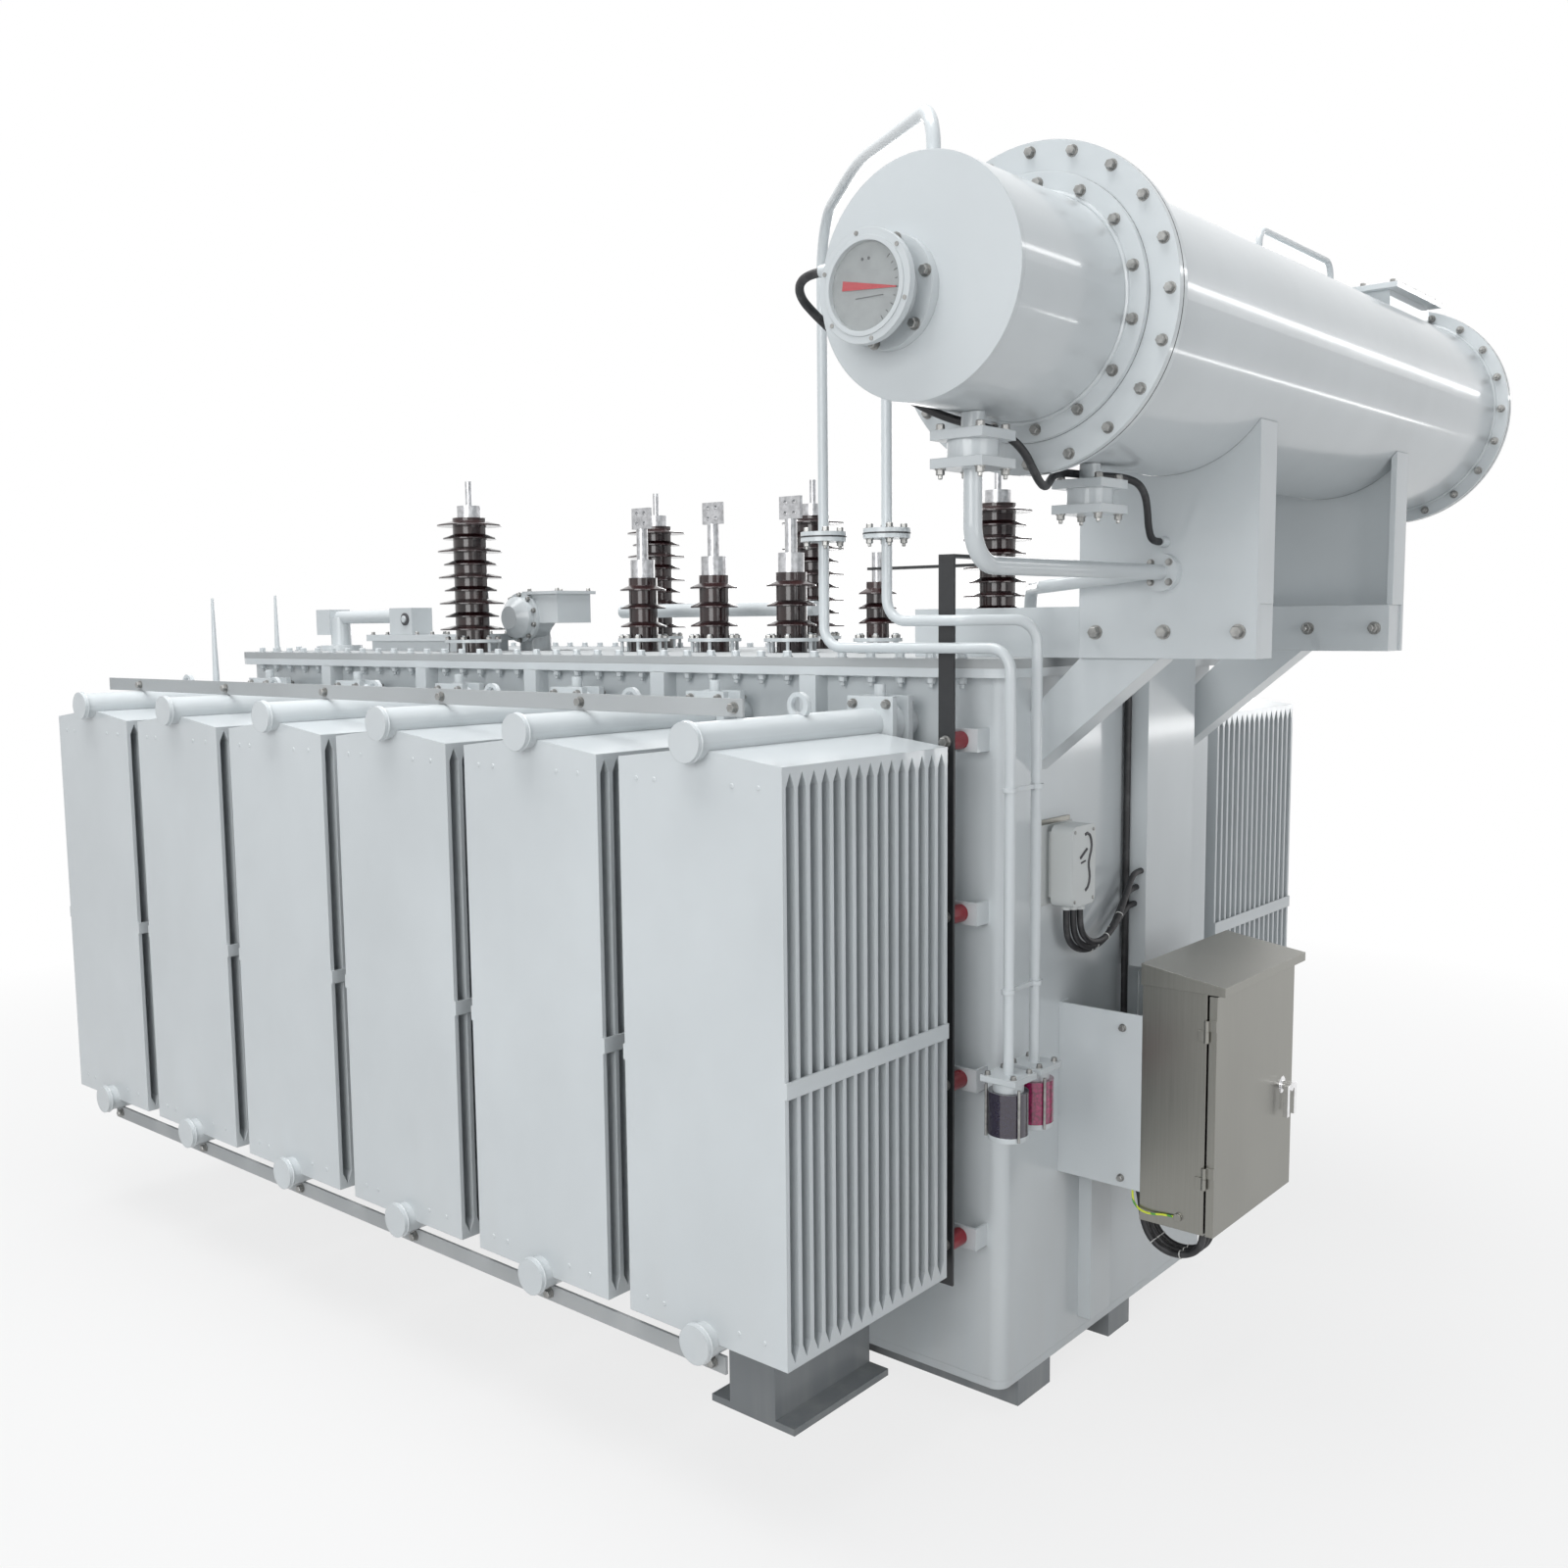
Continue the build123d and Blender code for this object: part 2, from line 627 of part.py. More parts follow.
# Tie bars along each bank, on the top headers and under the low ones
tie_y = TIE_TOP_INSET - radiator_face
tie_z = HEADER_TOP_Z + HEADER_RADIUS
tie_x0 = -first_x - TIE_TOP_FAR
ties = [block(tie_x0, first_x + TIE_TOP_NEAR, tie_y - TIE_THICK, tie_y, tie_z, tie_z + TIE_HEIGHT)]
tie_y = TIE_LOW_INSET - radiator_face
tie_z = HEADER_LOW_Z - HEADER_RADIUS
tie_end = first_x + TIE_LOW_OVER
ties.append(block(-tie_end, tie_end, tie_y - TIE_THICK, tie_y, tie_z - TIE_HEIGHT, tie_z))
save("tie_bars", *ties, *mirrored(ties))

# Bushings
base_top = cover_top + BUSHING_FOOT


def porcelain(body, sheds, pitch, first, length):
    """A shedded insulator on a plain foot below Z = 0; sheds lists the rim radii from the foot up."""
    points = [(0, -BUSHING_FOOT), (body, -BUSHING_FOOT)]
    for index, rim_radius in enumerate(sheds):
        z = first + index * pitch
        points.append((body, z - SHED_ROOT / 2))
        points.append((rim_radius, z - SHED_TIP / 2 - SHED_DROOP))
        points.append((rim_radius, z + SHED_TIP / 2 - SHED_DROOP))
        points.append((body, z + SHED_ROOT / 2))
    points += [(body, length), (0, length)]
    profile = make_face(Plane.XZ * Polyline(*points, close=True))
    return revolve(profile, Axis.Z)


def stack(place, height, solid):
    """A solid set on a bushing's centre line at a height."""
    return Pos(place[0], place[1], height) * solid


def clamp(body):
    """A ring held over a bushing's foot by studs that stand on Z = 0."""
    rim_radius = body + CLAMP_OVER
    ring_top = CLAMP_LIFT + CLAMP_THICK
    ring = rod_z(rim_radius, CLAMP_LIFT, ring_top, 0, 0)
    ring -= rod_z(body + HOLE_CLEAR, CLAMP_LIFT, ring_top, 0, 0)
    for spot in PolarLocations(rim_radius - CLAMP_STUD_INSET, CLAMP_STUDS):
        ring += spot * rod_z(CLAMP_STUD_RADIUS, 0, ring_top + CLAMP_STUD_TOP, 0, 0)
    return ring


hv_sheds = [HV_BIG_SHED if index % 2 == 0 else HV_SMALL_SHED for index in range(HV_SHED_COUNT)]
hv_body = porcelain(HV_BODY_RADIUS, hv_sheds, HV_SHED_PITCH, HV_FIRST_SHED, HV_LENGTH)
hv_cap = rod_z(HV_CAP_RADIUS, 0, HV_CAP_HEIGHT, 0, 0)
hv_cap += rod_z(HV_STUD_RADIUS, HV_CAP_HEIGHT, HV_CAP_HEIGHT + HV_STUD_HEIGHT, 0, 0)
lv_sheds = [LV_SHED_RADIUS] * LV_SHED_COUNT
lv_body = porcelain(LV_BODY_RADIUS, lv_sheds, LV_SHED_PITCH, LV_FIRST_SHED, LV_LENGTH)
stem_top = LV_CAP_HEIGHT + LV_STEM_HEIGHT
lv_cap = rod_z(LV_CAP_RADIUS, 0, LV_CAP_HEIGHT, 0, 0)
lv_cap += rod_z(LV_STEM_RADIUS, LV_CAP_HEIGHT, stem_top, 0, 0)
lv_pad = Pos(0, 0, stem_top + LV_PAD_HEIGHT / 2) * Box(LV_PAD_WIDTH, LV_PAD_THICK, LV_PAD_HEIGHT)
pad_mid = stem_top + LV_PAD_HEIGHT / 2
for hole_x in (-LV_PAD_HOLE_PITCH / 2, LV_PAD_HOLE_PITCH / 2):
    for hole_z in (-LV_PAD_HOLE_PITCH / 2, LV_PAD_HOLE_PITCH / 2):
        lv_pad -= rod_y(LV_PAD_HOLE, -LV_PAD_THICK, LV_PAD_THICK, hole_x, pad_mid + hole_z)
lv_cap += lv_pad
neutral_sheds = [NEUTRAL_SHED_RADIUS] * LV_SHED_COUNT
neutral_first = NEUTRAL_FIRST_SHED
neutral = porcelain(NEUTRAL_BODY_RADIUS, neutral_sheds, NEUTRAL_SHED_PITCH, neutral_first, NEUTRAL_LENGTH)
neutral_cap = rod_z(NEUTRAL_CAP_RADIUS, 0, NEUTRAL_CAP_HEIGHT, 0, 0)
save("hv_porcelain", *[stack(place, base_top, hv_body) for place in hv_places])
lv_bodies = [stack(place, base_top, lv_body) for place in lv_places]
save("lv_porcelain", *lv_bodies, stack(neutral_place, base_top, neutral))
terminals = [stack(place, base_top + HV_LENGTH, hv_cap) for place in hv_places]
terminals += [stack(place, base_top + LV_LENGTH, lv_cap) for place in lv_places]
terminals.append(stack(neutral_place, base_top + NEUTRAL_LENGTH, neutral_cap))
save("bushing_terminals", *terminals)
bases = [stack(place, cover_top, clamp(HV_BODY_RADIUS)) for place in hv_places]
bases += [stack(place, cover_top, clamp(LV_BODY_RADIUS)) for place in lv_places]
save("bushing_bases", *bases, stack(neutral_place, cover_top, clamp(NEUTRAL_BODY_RADIUS)))

# Conservator: a drum with bolted ends, and a small oil chamber on its -Y end
ring_y = CONS_HALF + CONS_RING_THICK
body = rod_y(CONS_RADIUS, -CONS_HALF, CONS_HALF, cons_x, CONS_Z)
for y0 in (-CONS_HALF, CONS_HALF - CONS_RING_THICK):
    body += rod_y(CONS_RING_RADIUS, y0, y0 + CONS_RING_THICK, cons_x, CONS_Z)
body -= rod_y(CONS_RADIUS - CONS_WALL, -CONS_HALF, CONS_HALF, cons_x, CONS_Z)
save("conservator_body", body)
save("conservator_far_end", rod_y(CONS_RING_RADIUS, CONS_HALF, ring_y, cons_x, CONS_Z))
drum_bore = DRUM_RADIUS - CONS_WALL
end_ring = rod_y(CONS_RING_RADIUS, -ring_y, -CONS_HALF, cons_x, CONS_Z)
end_ring -= rod_y(drum_bore, -ring_y, -CONS_HALF, cons_x, CONS_Z)
save("conservator_front_ring", end_ring)
drum_front = -ring_y - DRUM_LENGTH
drum = rod_y(DRUM_RADIUS, drum_front, -ring_y, cons_x, CONS_Z)
drum += rod_y(DRUM_FLANGE_RADIUS, -ring_y - DRUM_FLANGE_THICK, -ring_y, cons_x, CONS_Z)
drum -= rod_y(drum_bore, drum_front, -ring_y, cons_x, CONS_Z)
save("oil_chamber", drum)
end_y = drum_front - DRUM_END_THICK
save("oil_chamber_end", rod_y(DRUM_RADIUS, end_y, drum_front, cons_x, CONS_Z))

# Oil-level gauge, turned about its own axis
collar_y = GAUGE_COLLAR_THICK
rim_y = collar_y + GAUGE_NECK_LENGTH
glass_y = rim_y + GAUGE_RIM_LENGTH
dial_radius = GAUGE_RADIUS - GAUGE_RIM_WALL
dial_y = glass_y - GAUGE_DIAL_DEPTH
gauge_points = [(0, 0), (GAUGE_COLLAR_RADIUS, 0), (GAUGE_COLLAR_RADIUS, collar_y)]
gauge_points += [(GAUGE_NECK_RADIUS, collar_y), (GAUGE_NECK_RADIUS, rim_y)]
gauge_points += [(GAUGE_RADIUS, rim_y), (GAUGE_RADIUS, glass_y)]
gauge_points += [(dial_radius, glass_y), (dial_radius, dial_y), (0, dial_y)]
gauge_profile = make_face(Plane.XZ * Polyline(*gauge_points, close=True))
gauge = Pos(gauge_x, end_y, GAUGE_Z) * Rot(90, 0, 0) * revolve(gauge_profile, Axis.Z)
gland_z = GAUGE_Z + GAUGE_GLAND_RISE
gland_y = end_y - rim_y - GAUGE_RIM_LENGTH / 2
gland_x = gauge_x - GAUGE_RADIUS
gland_radius = GAUGE_CABLE / 2 + GLAND_OVER
gauge += rod_x(gland_radius, gland_x - GAUGE_GLAND_REACH, gland_x + GAUGE_GLAND_SINK, gland_y, gland_z)
gauge -= rod_y(dial_radius, end_y - glass_y, end_y - dial_y, gauge_x, GAUGE_Z)
save("oil_gauge", gauge)

# Loop grip and a bolted hatch, both fitted to the drum's top
seat = rod_y(CONS_RADIUS + SEAT_CLEAR, -CONS_HALF, CONS_HALF, cons_x, CONS_Z)
hatch_y1 = CONS_HALF - HATCH_INSET
hatch_y = hatch_y1 - HATCH_LENGTH
grip_y1 = hatch_y - GRIP_GAP
grip_y0 = grip_y1 - GRIP_LENGTH
grip_low = CONS_Z + CONS_RADIUS - CONS_WALL / 2
grip_high = CONS_Z + CONS_RADIUS + GRIP_RISE
grip_points = [(cons_x, grip_y0, grip_low), (cons_x, grip_y0, grip_high)]
grip_points.append((cons_x, grip_y1, grip_high))
grip_points.append((cons_x, grip_y1, grip_low))
save("conservator_grip", tube(grip_points, GRIP_RADIUS, GRIP_BEND) - seat)
hatch_top = CONS_Z + CONS_RADIUS + HATCH_CURB
curb_x = HATCH_WIDTH / 2 - HATCH_LIP
plate_half = HATCH_WIDTH / 2
hatch = block(cons_x - curb_x, cons_x + curb_x, hatch_y + HATCH_LIP, hatch_y1 - HATCH_LIP, CONS_Z, hatch_top)
hatch -= seat
hatch_z1 = hatch_top + HATCH_THICK
hatch += block(cons_x - plate_half, cons_x + plate_half, hatch_y, hatch_y1, hatch_top, hatch_z1)
save("conservator_hatch", hatch)

# Support: two arms on the cover, saddles bolted to their faces, braces and a wall column
arm_top = cover_top + ARM_HEIGHT
arm = block(half_length - ARM_LAP, half_length + ARM_OVER, -arm_y, -arm_y + ARM_WIDTH, cover_top, arm_top)
save("support_arms", arm, *mirrored([arm]))
saddle_x0 = cons_x - SADDLE_NEAR
saddle_x1 = cons_x + SADDLE_FAR
saddle = block(saddle_x0, saddle_x1, -arm_y - SADDLE_THICK, -arm_y, cover_top, SADDLE_TOP)
for x0 in (saddle_x0, saddle_x1 - SADDLE_THICK):
    saddle += block(x0, x0 + SADDLE_THICK, -arm_y, -arm_y + SADDLE_RIB, arm_top, SADDLE_TOP)
saddle -= seat
saddle_face = -arm_y - SADDLE_THICK
cable_gland = rod_y(gland_radius, saddle_face - SADDLE_GLAND, saddle_face, cons_x, SADDLE_GLAND_Z)
save("support_saddles", saddle + cable_gland, *mirrored([saddle]))
gauge_end = (gland_x - GAUGE_GLAND_REACH - half_length - LEAD_CLEAR, gland_y, gland_z)
saddle_end = (CONS_OFFSET, saddle_face - SADDLE_GLAND - LEAD_CLEAR, SADDLE_GLAND_Z)
cable_points = stretched(GAUGE_CABLE_POINTS, gauge_end, saddle_end, GAUGE_CABLE_SLACK)
lead("gauge_cable", cable_points, GAUGE_CABLE)
brace_low = cover_top - BRACE_DROP
brace_out = half_length + BRACE_REACH
brace_points = [(half_length, brace_low), (brace_out, cover_top), (brace_out - BRACE_HEAD, cover_top)]
brace_points.append((half_length, brace_low + BRACE_FOOT))
brace_face = make_face(Plane.XZ * Polyline(*brace_points, close=True))
brace = Pos(0, -arm_y, 0) * extrude(brace_face, -ARM_WIDTH)
save("support_braces", brace, *mirrored([brace]))
column_y1 = arm_y - ARM_WIDTH - COLUMN_CLEAR
column = block(half_length, half_length + COLUMN_DEPTH, COLUMN_Y0, column_y1, COLUMN_Z0, cover_top)
rim_x = rim_length / 2
column -= block(half_length, rim_x, COLUMN_Y0, column_y1, FLANGE_Z, cover_top)
save("end_column", column)
conduit_radius = COLUMN_CONDUIT / 2
conduit_y = COLUMN_Y0 - conduit_radius - SEAT_CLEAR
conduit_x = half_length + COLUMN_CONDUIT_GAP
save("column_conduit", rod_z(conduit_radius, COLUMN_CONDUIT_Z0, FLANGE_Z, conduit_x, conduit_y))

# Breather pipes from the oil chamber and the drum down to the breathers
chamber_seat = rod_y(DRUM_RADIUS + SEAT_CLEAR, end_y, -ring_y, cons_x, CONS_Z)
tap_z = CONS_Z + DRUM_RADIUS
tap_y = end_y + DRUM_TAP_INSET
front_points = [(cons_x, tap_y, tap_z - PIPE_SINK), (cons_x, tap_y, tap_z + DRUM_TAP_RISE)]
peak_x = cons_x + (front_pipe_x - cons_x) * FRONT_PEAK_SHARE
peak_y = tap_y + (breather_pipe_y - tap_y) * FRONT_PEAK_SHARE
front_points.append((peak_x, peak_y, FRONT_PIPE_PEAK))
front_points.append((front_pipe_x, breather_pipe_y, FRONT_PIPE_TOP))
front_points.append((front_pipe_x, breather_pipe_y, FRONT_PIPE_LOW))
front_points.append((front_drop_x, breather_pipe_y, FRONT_PIPE_LOW))
front_points.append((front_drop_x, breather_pipe_y, BREATHER_TOP))
flange_z1 = PIPE_FLANGE_Z + PIPE_FLANGE_THICK
front_bends = [FRONT_TAP_BEND, FRONT_PEAK_BEND, FRONT_TOP_BEND, PIPE_BEND, PIPE_BEND]
front_pipe = tube(front_points, PIPE_RADIUS, front_bends)
front_pipe += rod_z(PIPE_FLANGE_RADIUS, PIPE_FLANGE_Z, flange_z1, front_pipe_x, breather_pipe_y)
front_pipe -= chamber_seat
save("breather_pipe_front", front_pipe)
tap_x = cons_x - CONS_RADIUS
inner_points = [(tap_x + PIPE_SINK, breather_pipe_y, CONS_Z), (inner_pipe_x, breather_pipe_y, CONS_Z)]
inner_points.append((inner_pipe_x, breather_pipe_y, INNER_PIPE_LOW))
inner_points.append((inner_turn_x, breather_pipe_y, INNER_PIPE_LOW))
inner_points.append((inner_drop_x, inner_drop_y, INNER_PIPE_LOW))
inner_points.append((inner_drop_x, inner_drop_y, BREATHER_TOP))
inner_pipe = tube(inner_points, PIPE_RADIUS, PIPE_BEND)
inner_pipe += rod_z(PIPE_FLANGE_RADIUS, PIPE_FLANGE_Z, flange_z1, inner_pipe_x, breather_pipe_y)
inner_pipe -= seat
save("breather_pipe_rear", inner_pipe)

# Valves under the conservator, and the oil pipe from the first one to the near saddle

def cons_valve(y, underside):
    """A square-flanged valve hung from a drum's underside."""
    top = underside - CONS_VALVE_DROP
    low = top - CONS_VALVE_HEIGHT
    half = CONS_VALVE_SIDE / 2
    valve = rod_z(CONS_VALVE_NECK, top, underside + PIPE_SINK, cons_x, y)
    valve += rod_z(CONS_VALVE_BODY, low, top, cons_x, y)
    for z0 in (low, top - CONS_VALVE_PLATE):
        valve += block(cons_x - half, cons_x + half, y - half, y + half, z0, z0 + CONS_VALVE_PLATE)
    return valve


oil_valve_y = end_y + OIL_VALVE_INSET
drain_valve_y = DRAIN_VALVE_INSET - CONS_HALF
oil_valve = cons_valve(oil_valve_y, CONS_Z - DRUM_RADIUS) - chamber_seat
drain_valve = cons_valve(drain_valve_y, CONS_Z - CONS_RADIUS) - seat
save("conservator_valves", oil_valve, drain_valve)
oil_top = CONS_Z - DRUM_RADIUS - CONS_VALVE_DROP - CONS_VALVE_HEIGHT
oil_points = [(cons_x, oil_valve_y, oil_top), (cons_x, oil_valve_y, OIL_PIPE_Z)]
oil_points.append((cons_x, saddle_face, OIL_PIPE_Z))
oil_pipe = tube(oil_points, OIL_PIPE_RADIUS, OIL_PIPE_BEND)
oil_pipe += rod_y(OIL_FLANGE_RADIUS, saddle_face - PIPE_FLANGE_THICK, saddle_face, cons_x, OIL_PIPE_Z)
line_y = saddle_face - TANK_LINE_SIDE
line_x = half_length - TANK_LINE_INSET
line_end = (line_x, line_y + TANK_LINE_SIDE + TANK_LINE_DEPTH)
line_points = [(cons_x, line_y, OIL_PIPE_Z), (half_length + TANK_LINE_TURN, line_y, TANK_LINE_Z)]
line_points += [(*line_end, TANK_LINE_Z), (*line_end, cover_top)]
oil_pipe += tube(line_points, TANK_LINE_RADIUS, PIPE_BEND)
oil_pipe += rod_z(OIL_FLANGE_RADIUS, cover_top, cover_top + PIPE_FLANGE_THICK, *line_end)
save("oil_pipe", oil_pipe)

# Breathers: a flanged head, a clear cup and a foot under each pipe
heads = []
cups = []
neck_z = BREATHER_TOP - BREATHER_FLANGE_THICK
cup_top = neck_z - BREATHER_NECK
cup_low = cup_top - CUP_HEIGHT
for x, y in ((front_drop_x, breather_pipe_y), (inner_drop_x, inner_drop_y)):
    half = BREATHER_FLANGE / 2
    head = block(x - half, x + half, y - half, y + half, neck_z, BREATHER_TOP)
    head += rod_z(BREATHER_NECK_RADIUS, cup_top, neck_z, x, y)
    heads.append(head)
    heads.append(rod_z(CUP_RADIUS, cup_low - CUP_FOOT_HEIGHT, cup_low, x, y))
    cups.append(rod_z(CUP_RADIUS, cup_low, cup_top, x, y))
save("breather_heads", *heads)
save("breather_cups", *cups)

# Thermometer on the end wall
case_x = half_length + THERMO_PLATE + THERMO_STANDOFF
thermo_mid_y = (THERMO_Y0 + THERMO_Y1) / 2
thermo_mid_z = (THERMO_Z0 + THERMO_Z1) / 2
case_outline = RectangleRounded(THERMO_Y1 - THERMO_Y0, THERMO_Z1 - THERMO_Z0, THERMO_CORNER)
case_plane = Plane((case_x, thermo_mid_y, thermo_mid_z), x_dir=(0, 1, 0), z_dir=(1, 0, 0))
thermometer = extrude(case_plane * case_outline, THERMO_DEPTH)
thermo_width = THERMO_Y1 - THERMO_Y0
thermo_height = THERMO_Z1 - THERMO_Z0
wall_plane = Plane((half_length, thermo_mid_y, thermo_mid_z), x_dir=(0, 1, 0), z_dir=(1, 0, 0))
thermometer += extrude(wall_plane * Rectangle(thermo_width + 2 * THERMO_LIP, thermo_height), THERMO_PLATE)
neck = Rectangle(thermo_width - 2 * THERMO_LIP, thermo_height - 2 * THERMO_LIP)
thermometer += extrude(wall_plane * neck, THERMO_PLATE + THERMO_STANDOFF)
thermo_gland = THERMO_CABLE / 2 + GLAND_OVER
for points in THERMO_CABLE_POINTS:
    gland_x = half_length + points[0][0]
    thermometer += rod_z(thermo_gland, THERMO_Z0 - THERMO_GLAND, THERMO_Z0, gland_x, points[0][1])
save("thermometer", thermometer)
for index, points in enumerate(THERMO_CABLE_POINTS):
    lead("thermometer_cable_" + str(index + 1), points, THERMO_CABLE)

# Control cabinet: an open box with a rain hood, a pan door on two hinges and a handle
door_back = cabinet_x1 - DOOR_THICK
box_front = door_back - DOOR_GAP
hinge_x = door_back - DOOR_GAP / 2
hinge_y = CABINET_Y0 - HINGE_RADIUS - HINGE_CLEAR
hinge_zs = (CABINET_Z0 + HINGE_INSET, CABINET_Z1 - HINGE_INSET)
knuckle = (HINGE_LENGTH - KNUCKLE_GAP) / 2
inner_y0 = CABINET_Y0 + CABINET_WALL
inner_y1 = CABINET_Y1 - CABINET_WALL
inner_z0 = CABINET_Z0 + CABINET_WALL
inner_z1 = CABINET_Z1 - CABINET_WALL
cabinet = block(cabinet_x0, box_front, CABINET_Y0, CABINET_Y1, CABINET_Z0, CABINET_Z1)
cabinet -= block(cabinet_x0 + CABINET_WALL, box_front, inner_y0, inner_y1, inner_z0, inner_z1)
hood_front = cabinet_x1 + HOOD_OVER
hood_points = [(cabinet_x0, CABINET_Z1), (hood_front, CABINET_Z1), (hood_front, CABINET_Z1 + HOOD_LIP)]
hood_points.append((cabinet_x0, CABINET_Z1 + HOOD_LIP + HOOD_RISE))
hood_face = make_face(Plane.XZ * Polyline(*hood_points, close=True))
hood_span = CABINET_Y1 - CABINET_Y0 + 2 * HOOD_SIDE
cabinet += Pos(0, CABINET_Y0 - HOOD_SIDE, 0) * extrude(hood_face, -hood_span)
door = block(door_back, cabinet_x1, CABINET_Y0, CABINET_Y1, CABINET_Z0, CABINET_Z1 - DOOR_GAP)
door -= block(door_back, cabinet_x1 - CABINET_WALL, inner_y0, inner_y1, inner_z0, inner_z1 - DOOR_GAP)
leaf_y = CABINET_Y0 - HINGE_LEAF_THICK
for z in hinge_zs:
    cabinet += rod_z(HINGE_RADIUS, z, z + knuckle, hinge_x, hinge_y)
    cabinet += block(box_front - HINGE_LEAF, box_front, leaf_y, CABINET_Y0, z, z + knuckle)
    upper = z + HINGE_LENGTH - knuckle
    door += rod_z(HINGE_RADIUS, upper, upper + knuckle, hinge_x, hinge_y)
    door += block(door_back, cabinet_x1, leaf_y, CABINET_Y0, upper, upper + knuckle)
conduit_x = half_length + CONDUIT_PROFILE[0][0]
for index, y in enumerate(CONDUIT_YS):
    cabinet += rod_z(CABINET_CONDUIT / 2 + GLAND_OVER, CABINET_Z0 - CABINET_GLAND, CABINET_Z0, conduit_x, y)
    lead("cabinet_conduit_" + str(index + 1), [(x, y, z) for x, z in CONDUIT_PROFILE], CABINET_CONDUIT)
stud_y = CABINET_Y0 - EARTH_STUD_LENGTH
cabinet += rod_y(EARTH_STUD_RADIUS, stud_y, CABINET_Y0, cabinet_x0 + EARTH_STUD_INSET, EARTH_STUD_Z)
save("cabinet_box", cabinet)
lead("earth_wire", EARTH_WIRE_POINTS, EARTH_WIRE)
save("cabinet_door", door)
hub_x0 = cabinet_x1 + HANDLE_CLEAR
hub_x1 = cabinet_x1 + HANDLE_HUB_LENGTH
grip_x = hub_x1 - HANDLE_BAR
half_grip = HANDLE_WIDTH / 2
handle = rod_x(HANDLE_HUB_RADIUS, hub_x0, hub_x1, HANDLE_Y, HANDLE_Z)
handle += Pos(grip_x + HANDLE_BAR / 2, HANDLE_Y, HANDLE_Z) * Box(HANDLE_BAR, HANDLE_WIDTH, HANDLE_BAR)
for y0 in (HANDLE_Y - half_grip, HANDLE_Y + half_grip - HANDLE_BAR):
    handle += block(grip_x, hub_x1, y0, y0 + HANDLE_BAR, HANDLE_Z - HANDLE_DROP, HANDLE_Z)
save("cabinet_handle", handle)
brackets = []
for y0, side in ((CABINET_Y0, 1), (CABINET_Y1, -1)):
    y1 = y0 + side * BRACKET_THICK
    plate = block(half_length, cabinet_x0, min(y0, y1), max(y0, y1), BRACKET_Z0, BRACKET_Z1)
    y2 = y1 + side * BRACKET_FLANGE
    for x0 in (half_length, cabinet_x0 - BRACKET_THICK):
        plate += block(x0, x0 + BRACKET_THICK, min(y1, y2), max(y1, y2), BRACKET_Z0, BRACKET_Z1)
    brackets.append(plate)
save("cabinet_brackets", *brackets)

# Earthing bar on red insulators, with a run over the cover to the neutral bushing
bar_front = bar_y - BAR_THICK
bar_x0 = bar_x - BAR_WIDTH / 2
run_z = BAR_Z1 - BAR_THICK
bar = block(bar_x0, bar_x0 + BAR_WIDTH, bar_front, bar_y, BAR_Z0, BAR_Z1)
run_y = neutral_place[1] - BAR_WIDTH / 2
bar += block(bar_x0, bar_x0 + BAR_WIDTH, bar_front, run_y + BAR_WIDTH, run_z, BAR_Z1)
bar += block(neutral_place[0] - BAR_WIDTH / 2, bar_x0 + BAR_WIDTH, run_y, run_y + BAR_WIDTH, run_z, BAR_Z1)
bar -= rod_z(NEUTRAL_CAP_RADIUS + HOLE_CLEAR, run_z, BAR_Z1, *neutral_place)
save("earth_bar", bar)
insulators = []
bar_brackets = []
insulator_y = bar_y + INSULATOR_LENGTH
bracket_y = insulator_y + BAR_BRACKET_THICK
for z in INSULATOR_ZS:
    insulators.append(rod_y(INSULATOR_RADIUS, bar_y, insulator_y, bar_x, z))
    z0 = z - BAR_BRACKET_HEIGHT / 2
    x1 = bar_x + BAR_BRACKET_REACH
    angle = block(bar_x0, x1, insulator_y, bracket_y, z0, z0 + BAR_BRACKET_HEIGHT)
    angle += block(x1 - BAR_BRACKET_THICK, x1, bracket_y, -half_width, z0, z0 + BAR_BRACKET_HEIGHT)
    bar_brackets.append(angle)
save("bar_insulators", *insulators)
save("bar_brackets", *bar_brackets)

# Fittings on the cover
relief_low = cover_top + RELIEF_LIFT
relief_high = cover_top + RELIEF_TOP
relief_y0 = RELIEF_Y - RELIEF_DEPTH / 2
relief_y1 = relief_y0 + RELIEF_DEPTH
relief_x0 = RELIEF_INSET - half_length
relief_x1 = relief_x0 + RELIEF_END
relief_x2 = relief_x1 + RELIEF_LENGTH
relief = block(relief_x0, relief_x1, relief_y0, relief_y1, relief_low, relief_high)
relief += rod_x(RELIEF_RADIUS, relief_x1, relief_x2, RELIEF_Y, cover_top + RELIEF_AXIS)
relief_x3 = relief_x2 + RELIEF_BOX
hatchway_lid = cover_top + HATCHWAY_CURB + HATCHWAY_LID
relief += block(relief_x2, relief_x3, relief_y0, relief_y1, relief_low, relief_high)
neck_x = relief_x0 + RELIEF_NECK_INSET
relief += rod_z(RELIEF_NECK, cover_top, cover_top + RELIEF_AXIS, neck_x, RELIEF_Y)
relief += rod_z(RELIEF_FOOT, cover_top, cover_top + RELIEF_FOOT_THICK, neck_x, RELIEF_Y)
save("relief_valve", relief)
hatchway_x0 = HATCHWAY_INSET - half_length
hatchway_x1 = hatchway_x0 + HATCHWAY_LENGTH
hatchway_y1 = HATCHWAY_Y0 + HATCHWAY_WIDTH
lip_x0 = hatchway_x0 + HATCHWAY_LIP
lip_x1 = hatchway_x1 - HATCHWAY_LIP
curb_top = cover_top + HATCHWAY_CURB
hatchway = block(hatchway_x0, hatchway_x1, HATCHWAY_Y0, hatchway_y1, curb_top, hatchway_lid)
